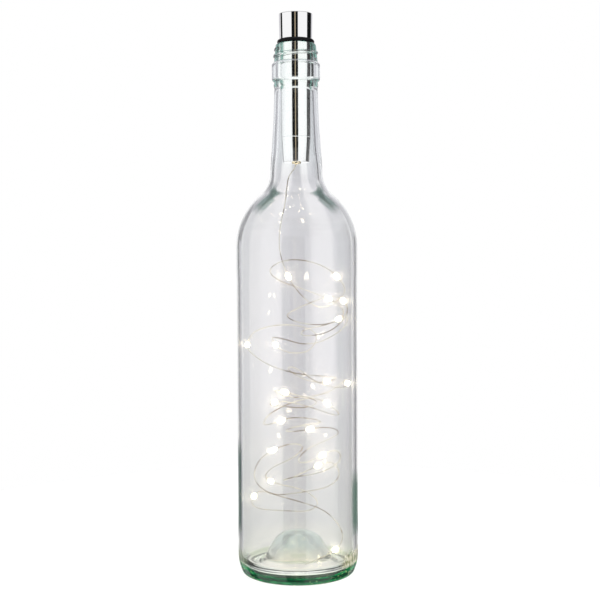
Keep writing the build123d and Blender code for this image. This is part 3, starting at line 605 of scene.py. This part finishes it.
# Lamps: points on the wire carry the direction of each lamp, and the tree sets a shape on each
def lampTree(title):
    tree = bpy.data.node_groups.new(title, "GeometryNodeTree")
    face = tree.interface
    face.new_socket("Points", in_out="INPUT", socket_type="NodeSocketGeometry")
    face.new_socket("Across", in_out="INPUT", socket_type="NodeSocketFloat")
    face.new_socket("Long", in_out="INPUT", socket_type="NodeSocketFloat")
    face.new_socket("Stand off", in_out="INPUT", socket_type="NodeSocketFloat")
    face.new_socket("Round", in_out="INPUT", socket_type="NodeSocketBool")
    face.new_socket("Finish", in_out="INPUT", socket_type="NodeSocketMaterial")
    face.new_socket("Lamps", in_out="OUTPUT", socket_type="NodeSocketGeometry")

    def node(kind, **settings):
        made = tree.nodes.new(kind)
        for key, value in settings.items():
            setattr(made, key, value)
        return made

    def wire(source, target):
        tree.links.new(source, target)

    given = node("NodeGroupInput").outputs
    size = node("ShaderNodeCombineXYZ")
    wire(given["Across"], size.inputs["X"])
    wire(given["Across"], size.inputs["Y"])
    wire(given["Long"], size.inputs["Z"])
    ball = node("GeometryNodeMeshUVSphere")
    ball.inputs["Segments"].default_value = 20
    ball.inputs["Rings"].default_value = 14
    ball.inputs["Radius"].default_value = 0.5
    block = node("GeometryNodeMeshCube")
    choice = node("GeometryNodeSwitch", input_type="GEOMETRY")
    wire(given["Round"], choice.inputs["Switch"])
    wire(block.outputs["Mesh"], choice.inputs["False"])
    wire(ball.outputs["Mesh"], choice.inputs["True"])
    away = node("ShaderNodeCombineXYZ")
    wire(given["Stand off"], away.inputs["X"])
    shaped = node("GeometryNodeTransform")
    wire(choice.outputs["Output"], shaped.inputs["Geometry"])
    wire(size.outputs["Vector"], shaped.inputs["Scale"])
    wire(away.outputs["Vector"], shaped.inputs["Translation"])
    along = node("GeometryNodeInputNamedAttribute", data_type="FLOAT_VECTOR")
    along.inputs["Name"].default_value = "along"
    side = node("GeometryNodeInputNamedAttribute", data_type="FLOAT_VECTOR")
    side.inputs["Name"].default_value = "side"
    turn = node("FunctionNodeAxesToRotation", primary_axis="Z", secondary_axis="X")
    wire(along.outputs["Attribute"], turn.inputs["Primary Axis"])
    wire(side.outputs["Attribute"], turn.inputs["Secondary Axis"])
    placed = node("GeometryNodeInstanceOnPoints")
    wire(given["Points"], placed.inputs["Points"])
    wire(shaped.outputs["Geometry"], placed.inputs["Instance"])
    wire(turn.outputs["Rotation"], placed.inputs["Rotation"])
    whole = node("GeometryNodeRealizeInstances")
    wire(placed.outputs["Instances"], whole.inputs["Geometry"])
    finish = node("GeometryNodeSetMaterial")
    wire(whole.outputs["Geometry"], finish.inputs["Geometry"])
    wire(given["Finish"], finish.inputs["Material"])
    wire(finish.outputs["Geometry"], node("NodeGroupOutput").inputs["Lamps"])
    return tree


lampShapes = lampTree("lampShapes")


def growLamps(name, inputs, sharp):
    points = bpy.data.meshes.new(name)
    points.from_pydata([place for place, side, across, along in lampFrames], [], [])
    for title, order in (("along", 3), ("side", 1)):
        stored = points.attributes.new(title, "FLOAT_VECTOR", "POINT")
        for item, frames in zip(stored.data, lampFrames):
            item.vector = frames[order]
    holder = linkMesh(name + "Points", points)
    modifier = holder.modifiers.new("lamps", "NODES")
    modifier.node_group = lampShapes
    for item in lampShapes.interface.items_tree:
        if item.in_out == "INPUT" and item.name in inputs:
            modifier[item.identifier] = inputs[item.name]
    graph = bpy.context.evaluated_depsgraph_get()
    mesh = bpy.data.meshes.new_from_object(holder.evaluated_get(graph))
    mesh.name = name
    holder.modifiers.remove(modifier)
    bpy.data.objects.remove(holder)
    smooth(mesh, sharp)
    return linkMesh(name, mesh)


# Finishes. Glass first: nearly clear walls, and green where the base is thick. Each pair is a soft
# edge, and a pair of pairs is the foot and the top of a zone. Heights and reaches from the axis are in
# metres, and a turn is how far the wall turns from the eye, up to 1.
glassSet = {
    "heights": {
        "throat": (0.236, 0.262), "sleeve": (0.3105, 0.3130),
        "bead": ((0.2955, 0.2975), (0.3010, 0.3030)), "wall": (0.02, 0.13), "foot": (0.014, 0.026),
        "dome": (0.0255, 0.0290), "domeTint": (0.011, 0.019), "paintedEdgeShade": (0.020, 0.034),
        "paintedEdgeShadeTop": (0.062, 0.078), "bend": ((0.219, 0.226), (0.233, 0.242)), "under": (0.0045, 0.0065),
        "pale": ((0.085, 0.115), (0.205, 0.215)), "heel": (0.0070, 0.0095), "low": (0.0044, 0.0060),
        "dark": ((0.0014, 0.0028), (0.0034, 0.0052)), "corner": ((0.0065, 0.0090), (0.0130, 0.0190)),
        "beside": (0.246, 0.262), "haze": ((0.009, 0.013), (0.205, 0.225)),
    },
    "reaches": {
        "skin": (0.0345, 0.0350), "dome": (0.0275, 0.0300), "under": (0.0285, 0.0315),
        "heel": (0.0325, 0.0340), "neck": (0.01305, 0.01320), "inner": (0.0352, 0.0358),
    },
    "turns": {
        "paintedEdgeShade": (0.57, 0.67), "bend": ((0.40, 0.47), (0.56, 0.68)), "pale": (0.61, 0.72),
        "side": (0.16, 0.34), "ring": (0.24, 0.48), "rise": (0.30, 0.62), "paintedGlints": (0.42, 0.58),
        "corner": (0.32, 0.54), "beside": (0.26, 0.42),
    },
    "shares": {
        "drift": 0.3, "under": 0.8, "bend": 0.92, "heel": 0.92, "lowHeel": 0.80, "dark": 0.85,
        "paintedGlints": 0.8, "paintedSideGlints": 0.8, "cornerLightStreaks": 0.75, "paintedEdgeShade": 0.74, "paintedNeckVeil": 0.40, "finishVeil": 0.22,
        "haze": 0.15,
    },
    "ior": 1.5, "heelRise": 0.0035, "bandSway": 0.0030,
}


def glassFinish(net):
    heights, reaches = glassSet["heights"], glassSet["reaches"]
    turns, shares, ior = glassSet["turns"], glassSet["shares"], glassSet["ior"]
    x, y, height = net.parts(net.place())
    out = (x * x + y * y).maths("SQRT")
    # How far a wall turns from the eye, the same from above as from level with the bottle
    facing = net.add("ShaderNodeLayerWeight", None, {"Blend": 0.5}, out="Facing")
    upward = net.add("ShaderNodeCombineXYZ", None, {"Z": 1.0})
    steep = 1 - net.add("ShaderNodeLayerWeight", None, {"Blend": 0.5, "Normal": upward}, out="Facing")
    aside = 1 - (1 - facing) / (1 - steep * steep).maths("SQRT").maths("MAXIMUM", 0.2)
    front = 1 - net.add("ShaderNodeNewGeometry", out="Backfacing")
    skin = out.ramp(*reaches["skin"]) * front
    finish = height.ramp(*heights["sleeve"]) + height.between(*heights["bead"])
    drift = net.noise(16.0, 2.0, (1, 1, 0.35)).ramp(0.3, 0.7)
    wall = net.blend(height.ramp(*heights["wall"]), rgb(0.838, 0.831, 0.824), rgb(0.916, 0.903, 0.920))
    wall = net.blend(drift * shares["drift"], wall, rgb(0.93, 0.92, 0.935))
    wall = net.blend(height.fall(*heights["foot"]), wall, rgb(0.945, 0.935, 0.89))
    dome = out.fall(*reaches["dome"]) * height.fall(*heights["dome"])
    domeRise = height.ramp(*heights["domeTint"])
    wall = net.blend(dome, wall, net.blend(domeRise, rgb(0.975, 0.950, 0.91), rgb(0.915, 0.968, 0.96)))
    # Long ways through the glass show its green; over it lie painted shade and light: a painted dark edge
    # low down, painted dark streaks where the neck begins, a painted olive tint at the back of the heel and
    # a painted paler band along the edges
    edge = (aside + x * 1.4).ramp(*turns["paintedEdgeShade"]) * skin
    paintedEdgeShade = edge * height.ramp(*heights["paintedEdgeShade"]) * (height + x * 0.27).fall(*heights["paintedEdgeShadeTop"])
    # Painted shade: dark green streaks at the sides of the throat, over the glass's own green
    bend = aside.between(*turns["bend"]) * height.between(*heights["bend"]) * front
    # Painted light: an olive tint on the back of the heel ring inside, seen through the dome
    under = (1 - front) * out.ramp(*reaches["under"]) * height.fall(*heights["under"])
    under = under * y.ramp(0.004, 0.014)
    wall = net.blend(under * shares["under"], wall, rgb(0.48, 0.58, 0.33))
    # Painted light: the glass turns clear white in a band along its edges at mid height
    pale = aside.ramp(*turns["pale"]) * height.between(*heights["pale"]) * skin
    wall = net.blend(pale, wall, rgb(1, 1, 1))
    wall = net.blend(bend * shares["bend"], wall, rgb(0.03, 0.11, 0.08))
    # Painted shade: the glass of the neck turns grey towards its sides
    side = net.blend(aside.ramp(*turns["side"]), rgb(0.985, 0.99, 0.99), rgb(0.80, 0.81, 0.84))
    # Over the finish the glass turns dark teal towards its sides: partly its own green, partly painted
    # shade
    ring = net.blend(aside.ramp(*turns["ring"]), rgb(0.975, 0.99, 0.98), rgb(0.025, 0.15, 0.11))
    tint = net.blend(height.ramp(*heights["throat"]), wall, side)
    tint = net.blend(finish, tint, ring)
    lifted = height - aside.ramp(*turns["rise"]) * glassSet["heelRise"]
    heel = lifted.fall(*heights["heel"]) * out.ramp(*reaches["heel"]) * front
    low = lifted.ramp(*heights["low"])
    tint = net.blend(heel, tint, net.blend(low, rgb(0.06, 0.42, 0.22), rgb(0.90, 0.92, 0.82)))
    sway = net.bump(net.noise(60.0, 2.0, (1, 1, 0.3)), 0.03, 0.0004)
    clear = net.principled(
        Base_Color=tint, Roughness=0.0, IOR=ior, Transmission_Weight=1.0, Normal=sway,
    )
    # Light is led round and round inside the thick heel and comes out deep green; here the heel is drawn as
    # an opaque green surface with painted light and shade: streaks, a painted near-black band and painted
    # glints
    band = height + (net.noise(34.0, 3.0, (1, 1, 0.2)) - 0.5) * glassSet["bandSway"]
    streaks = net.noise(150.0, 4.0, (1, 1, 5.0)).ramp(0.42, 0.62)
    green = net.blend(streaks, rgb(0.004, 0.13, 0.045), rgb(0.02, 0.30, 0.10))
    # Painted shade: a near-black band across the heel
    green = net.blend(band.between(*heights["dark"]) * shares["dark"], green, rgb(0.0, 0.035, 0.014))
    # Painted glints: yellow-green sparks, most on one side and at the sides
    paintedGlints = net.noise(420.0, 2.0, (1, 1, 2.2)).ramp(0.60, 0.70)
    paintedSideGlints = aside.ramp(*turns["paintedGlints"]) * shares["paintedSideGlints"]
    paintedGlints = paintedGlints * x.ramp(-0.005, 0.025).maths("MAXIMUM", paintedSideGlints)
    green = net.blend(paintedGlints * shares["paintedGlints"], green, rgb(0.62, 0.80, 0.34))
    paintedHeel = net.principled(Base_Color=green, Roughness=0.08, IOR=ior, Normal=sway)
    solid = net.cover(heel * (shares["heel"] - low * shares["lowHeel"]), clear, paintedHeel)
    # The round corner above it is painted as if it caught the lamps: painted olive shade on one side,
    # painted cream and gold glints on the other, broken by darker painted streaks
    corner = skin * (aside + x * 3).ramp(*turns["corner"]) * height.between(*heights["corner"])
    cornerLightStreaks = net.noise(430.0, 4.0, (1, 1, 0.7)).ramp(0.44, 0.56)
    cornerLightTint = net.blend(x.ramp(-0.010, 0.022), rgb(0.40, 0.50, 0.34), rgb(0.96, 0.90, 0.66))
    cornerLightTint = net.blend(cornerLightStreaks * shares["cornerLightStreaks"], cornerLightTint, rgb(0.24, 0.30, 0.12))
    paintedCorner = net.principled(Base_Color=cornerLightTint, Roughness=0.12, IOR=ior, Normal=sway)
    solid = net.cover(corner * x.ramp(-0.010, 0.030, 0.42, 0.62), solid, paintedCorner)
    # Painted shade: an opaque dark green-grey with no shine over the lower edges of the body, and a painted
    # even grey over the sides of the neck
    shadeTint = net.blend(x.ramp(-0.02, 0.02), rgb(0.03, 0.07, 0.06), rgb(0.05, 0.13, 0.09))
    shade = net.principled(Base_Color=shadeTint, Roughness=0.5, Specular_IOR_Level=0.0)
    solid = net.cover(paintedEdgeShade * shares["paintedEdgeShade"], solid, shade)
    # Painted shade over the sides of the neck: an opaque matte grey, less over the finish
    paintedNeckVeilTint = net.blend(drift, rgb(0.64, 0.64, 0.69), rgb(0.72, 0.72, 0.77))
    paintedNeckVeil = net.principled(Base_Color=paintedNeckVeilTint, Roughness=0.5, Specular_IOR_Level=0.0)
    beside = out.ramp(*reaches["neck"]) * height.ramp(*heights["beside"]) * aside.ramp(*turns["beside"])
    beside = beside * front * (shares["paintedNeckVeil"] - finish * shares["finishVeil"])
    solid = net.cover(beside, solid, paintedNeckVeil)
    # A faint bloom inside the wall spreads the light of the lamps round them
    bloom = net.principled(Base_Color=tint, Roughness=0.5, IOR=ior, Transmission_Weight=1.0)
    inner = out.fall(*reaches["inner"]) * height.between(*heights["haze"])
    hazed = net.cover(inner * shares["haze"], solid, bloom)
    shadowPass = net.add("ShaderNodeBsdfTransparent", None, {"Color": rgb(0.93, 0.95, 0.94)})
    depth = net.add(
        "ShaderNodeVolumeAbsorption", None, {"Color": rgb(0.30, 0.86, 0.62), "Density": 6.0},
    )
    return {"Surface": net.cover(net.rays("Is Shadow Ray"), hazed, shadowPass), "Volume": depth}


def metalFinish(net):
    smear = net.noise(90.0, 4.0, (1, 1, 0.25))
    fine = net.noise(1400.0, 2.0, (1, 1, 0.04))
    dull = smear.ramp(0.35, 0.75, 0.035, 0.075)
    return surface(
        net, Base_Color=net.blend(smear, rgb(0.90, 0.90, 0.91), rgb(0.95, 0.95, 0.95)), Metallic=1.0,
        Roughness=dull, Normal=net.bump(fine, 0.02, 0.00002),
    )


def rubberFinish(net):
    grain = net.noise(2500.0, 3.0)
    return surface(
        net, Base_Color=net.blend(grain, rgb(0.003, 0.003, 0.004), rgb(0.009, 0.009, 0.010)),
        Roughness=grain.ramp(0.3, 0.7, 0.30, 0.42), Normal=net.bump(grain, 0.08, 0.00003),
        Specular_IOR_Level=0.1,
    )


def plasticFinish(first, second, rough, scale=900.0):
    def recipe(net):
        grain = net.noise(scale, 3.0)
        return surface(
            net, Base_Color=net.blend(grain, rgb(*first), rgb(*second)),
            Roughness=grain.ramp(0.3, 0.7, rough, rough + 0.12), Normal=net.bump(grain, 0.1, 0.00003),
        )
    return recipe


def sheetMetalFinish(first, second, rough):
    def recipe(net):
        grain = net.noise(700.0, 4.0, (1, 1, 0.15))
        return surface(
            net, Base_Color=net.blend(grain, rgb(*first), rgb(*second)), Metallic=1.0,
            Roughness=grain.ramp(0.3, 0.7, rough, rough + 0.15), Normal=net.bump(grain, 0.05, 0.00002),
        )
    return recipe


def boardFinish(net):
    weave = net.noise(1200.0, 2.0, (1, 1, 0.2))
    tracks = net.noise(420.0, 0.0, (1, 1, 1))
    line = (tracks > 0.5) * (tracks < 0.53)
    green = net.blend(weave, rgb(0.015, 0.13, 0.05), rgb(0.02, 0.17, 0.07))
    return surface(
        net, Base_Color=net.blend(line, green, rgb(0.06, 0.30, 0.12)), Roughness=0.3,
        Normal=net.bump(line, 0.3, 0.00003),
    )


def wireFinish(net):
    grain = net.noise(1800.0, 3.0)
    # Dark brown and pale cream in random patches along the wire
    wirePatches = net.noise(85.0, 2.0).ramp(0.40, 0.52)
    lacquer = net.blend(wirePatches, rgb(0.22, 0.15, 0.06), rgb(0.90, 0.86, 0.74))
    return surface(
        net, Base_Color=lacquer, Metallic=0.35, Roughness=grain.ramp(0.3, 0.7, 0.24, 0.38),
    )


def dropFinish(net):
    cloud = net.noise(700.0, 2.0).ramp(0.35, 0.65)
    glow = net.blend(cloud, rgb(1.0, 0.86, 0.60), rgb(1.0, 0.90, 0.68))
    return surface(
        net, Base_Color=rgb(1.0, 0.95, 0.85), Roughness=0.12, Emission_Color=glow, Emission_Strength=45.0,
    )


def chipFinish(net):
    grain = net.noise(3000.0, 2.0)
    tone = net.blend(grain, rgb(1.0, 0.72, 0.18), rgb(1.0, 0.80, 0.28))
    return surface(net, Base_Color=tone, Roughness=0.5, Emission_Color=tone, Emission_Strength=9.0)


finishes = {
    "glass": material("bottleGlass", glassFinish),
    "metal": material("polishedMetal", metalFinish),
    "rubber": material("sealRubber", rubberFinish),
    "brass": material("bushBrass", sheetMetalFinish((0.90, 0.76, 0.50), (0.96, 0.86, 0.64), 0.16)),
    "steel": material("plugSteel", sheetMetalFinish((0.60, 0.61, 0.63), (0.72, 0.73, 0.74), 0.2)),
    "gold": material("contactGold", sheetMetalFinish((0.86, 0.60, 0.22), (0.95, 0.70, 0.30), 0.16)),
    "nickel": material("stripNickel", sheetMetalFinish((0.55, 0.54, 0.50), (0.66, 0.65, 0.61), 0.3)),
    "black": material("blackPlastic", plasticFinish((0.010, 0.010, 0.011), (0.024, 0.024, 0.026), 0.38)),
    "white": material("whitePlastic", plasticFinish((0.72, 0.72, 0.70), (0.80, 0.80, 0.78), 0.35)),
    "board": material("boardGreen", boardFinish),
    "tin": material("solderTin", sheetMetalFinish((0.55, 0.56, 0.57), (0.70, 0.71, 0.72), 0.3)),
    "wrap": material("cellWrapBlue", plasticFinish((0.02, 0.10, 0.33), (0.03, 0.13, 0.40), 0.28)),
    "paper": material("insulatorPaper", plasticFinish((0.62, 0.60, 0.52), (0.74, 0.72, 0.64), 0.7, 1800.0)),
    "foam": material("padFoam", plasticFinish((0.03, 0.03, 0.032), (0.07, 0.07, 0.072), 0.85, 2400.0)),
    "red": material("leadRed", plasticFinish((0.45, 0.02, 0.015), (0.55, 0.035, 0.025), 0.35)),
    "dark": material("leadBlack", plasticFinish((0.012, 0.012, 0.012), (0.028, 0.028, 0.028), 0.35)),
    "wire": material("lampWireSilver", wireFinish),
    "drop": material("dropResin", dropFinish),
    "chip": material("chipYellow", chipFinish),
}
carried = {
    "cap_liner": "white", "core_chassis": "black", "usb_shell": "steel", "usb_tongue": "white",
    "usb_contacts": "gold", "circuit_board": "board", "board_chips": "black", "board_passives": "tin",
    "switch_body": "black", "switch_button": "black", "cell_can": "steel", "cell_insulator": "paper",
    "cell_wrap": "wrap", "cell_pads": "foam", "nickel_strips": "nickel", "wire_knot": "wire",
    "splice_sleeves": "dark", "lead_red": "red", "lead_black": "dark",
}
for node, finish in carried.items():
    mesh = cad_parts[node].data
    mesh.materials.clear()
    mesh.materials.append(finishes[finish])

dropInputs = {"Across": 2 * stringSet["dropRadius"] * mm, "Long": stringSet["dropLength"] * mm,
              "Stand off": 0.0, "Round": True, "Finish": finishes["drop"]}
chipInputs = {"Across": stringSet["chipWidth"] * mm, "Long": stringSet["chipLength"] * mm,
              "Stand off": stringSet["chipAside"] * mm, "Round": False, "Finish": finishes["chip"]}
lampDrops = growLamps("lampDrops", dropInputs, sharp=80)
lampChips = growLamps("lampChips", chipInputs, sharp=30)
print("lamps", len(lampFrames), "drops with", len(lampDrops.data.polygons), "faces")

dressed = [
    (bottleShell, "glass", "bottle", "bottle", "bottle_glass"),
    (headShell, "metal", "head_cap", "head_cap", "polished_metal"),
    (tubeShell, "metal", "body_tube", "stopper", "polished_metal"),
    (tailCap, "metal", "end_cap", "stopper", "polished_metal"),
    (sealRing, "rubber", "sealing_ring", "stopper", "seal_rubber"),
    (exitBush, "brass", "exit_bush", "stopper", "bush_brass"),
    (lampWire, "wire", "string_wire", None, "wire_silver"),
    (lampDrops, "drop", "led_drops", None, "drop_resin"),
    (lampChips, "chip", "led_chips", None, "led_yellow"),
]
for piece, finish, node, body, slot in dressed:
    if not piece.data.materials:
        piece.data.materials.append(finishes[finish])
    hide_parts(node)
    if body:
        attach(piece, body)
    else:
        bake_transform(piece)

# Surroundings: the view stays white, and what the metal mirrors is striped like a studio tent. A
# stripe lies between two angles round the bottle, in degrees, and a level between two heights of aim.
tentSet = {
    "soft": 1.2, "level": 0.9, "through": 1.14, "blacks": [(-29, -7.0), (-1.0, 15.5), (86, 133)],
    "left": (-127, -105), "neck": (-162, -138), "back": (149, 158), "cream": (-7.0, -1.0),
    "top": (0.28, 0.38), "foot": (-0.9, -0.78), "canopy": ((0.27, 0.33), (0.74, 0.82)),
}
foldSet = {
    "every": 45.0, "stripes": [(-1.8, 1.45, 0.5, 0.85), (4.9, 18.5, 0.7, 1.0), (-18.5, -9.4, 0.6, 0.85)],
    "crease": (18, 20), "creaseDepth": 0.6, "foot": (-0.26, -0.12), "footDepth": 0.35,
}


def tentStripe(across, start, end, soft=tentSet["soft"]):
    return across.between((start - soft, start + soft), (end - soft, end + soft))


world = bpy.data.worlds.new("studioTent")
scene.world = world
world.use_nodes = True
air = shaderNet(world.node_tree)
aimX, aimY, aimZ = air.parts(air.add("ShaderNodeTexCoord", out="Generated"))
across = aimX.maths("ARCTAN2", -1 * aimY) * (180 / pi)
back = across.maths("ABSOLUTE")
level = aimZ.fall(*tentSet["top"]) * aimZ.ramp(*tentSet["foot"])
direct = air.rays("Transmission Depth") < 0.5
canopy = aimZ.between(*tentSet["canopy"]) * direct * 0.75
aloft = aimZ.ramp(0.05, 0.08) * (1 - direct)
black = (
    sum(tentStripe(across, *stripe) for stripe in tentSet["blacks"])
    + tentStripe(across, *tentSet["left"]) * direct + tentStripe(across, *tentSet["neck"]) * aloft * 0.6
    + tentStripe(back, *tentSet["back"]) * aimZ.fall(0.05, 0.12)
) * level
black = black.maths("MAXIMUM", canopy)
# The gloss along the edges of the glass sees them faintly, and stays pale
gloss = air.rays("Is Singular Ray") * direct * back.ramp(35, 60)
black = black * (1 - gloss * 0.85)
cream = tentStripe(across, *tentSet["cream"]) * level
behind = back.between((128, 134), (160, 166))
tent = air.blend(direct, rgb(*[tentSet["through"]] * 3), rgb(1, 1, 1))
tent = air.blend(behind, tent, rgb(0.66, 0.65, 0.68))
tent = air.blend(cream, tent, rgb(0.44, 0.34, 0.20))
tent = air.blend(black, tent, rgb(0.006, 0.007, 0.007))
mirrored = air.rays("Glossy Depth") > 0.5
# Soft folds in the cloth behind, seen only through the glass, and the same all the way round
every = foldSet["every"]
turn = ((aimX.maths("ARCTAN2", aimY) * (180 / pi / every) + 0.5).maths("FRACT") - 0.5) * every
creaseStart, creaseEnd = foldSet["crease"]
folds = (
    sum(tentStripe(turn, start, end, soft) * fold for start, end, soft, fold in foldSet["stripes"])
    + turn.ramp(creaseStart, creaseEnd) * foldSet["creaseDepth"]
    + turn.fall(-creaseEnd, -creaseStart) * foldSet["creaseDepth"]
)
folds = folds * aimZ.ramp(*foldSet["foot"], foldSet["footDepth"], 1.0)
cloth = air.blend(folds * air.rays("Is Transmission Ray"), rgb(1, 1, 1), rgb(0.73, 0.735, 0.76))
shown = air.blend(mirrored, cloth, tent)
shown = air.blend(air.rays("Is Diffuse Ray"), shown, rgb(*[tentSet["level"]] * 3))
air.add("ShaderNodeOutputWorld", None, {
    "Surface": air.add("ShaderNodeBackground", None, {"Color": shown, "Strength": 1.0}),
})

floorSet = {"radius": 340.0, "height": -0.2, "sides": 96, "bright": 0.75, "seen": 0.35, "lift": 0.69}


def floorFinish(net):
    lit = sum(net.rays(f"Is {kind} Ray") for kind in ("Camera", "Transmission", "Glossy")) > 0.5
    cloth = net.add("ShaderNodeBsdfDiffuse", None, {"Color": rgb(*[floorSet["bright"]] * 3)})
    faint = net.add("ShaderNodeBsdfDiffuse", None, {"Color": rgb(*[floorSet["seen"]] * 3)})
    lift = net.add("ShaderNodeEmission", None, {"Color": rgb(1, 1, 1), "Strength": floorSet["lift"]})
    both = net.add("ShaderNodeAddShader", None, {0: faint, 1: lift})
    return {"Surface": net.cover(lit, cloth, both)}


floorDisc = turnProfile(
    "studioFloor", [(0, floorSet["height"]), (floorSet["radius"], floorSet["height"])], floorSet["sides"],
)
floorDisc.data.materials.append(material("floorCloth", floorFinish))
floorDisc.visible_transmission = False  # glass and metal show the cloth, with no edge of the floor
floorDisc.visible_glossy = False

lampSet = {
    "keySoftbox": {"place": (-2.2, -2.2, 2.6), "aim": (0, 0, 0.15), "size": 1.8, "power": 40.0},
    "fillSoftbox": {"place": (2.6, -1.6, 2.0), "aim": (0, 0, 0.15), "size": 1.8, "power": 20.0},
    "backSoftbox": {"place": (0.4, 2.8, 2.6), "aim": (0, 0, 0.15), "size": 1.8, "power": 20.0},
}
for name, facts in lampSet.items():
    data = bpy.data.lights.new(name, "AREA")
    data.shape = "DISK"
    data.size = facts["size"]
    data.energy = facts["power"]
    lamp = bpy.data.objects.new(name, data)
    scene.collection.objects.link(lamp)
    toward = Vector(facts["aim"]) - Vector(facts["place"])
    aimed = toward.to_track_quat("-Z", "Y").to_matrix().to_4x4()
    lamp.matrix_world = Matrix.Translation(facts["place"]) @ aimed
    lamp.visible_glossy = False
    lamp.visible_transmission = False
    lamp.visible_camera = False
print("studio set")
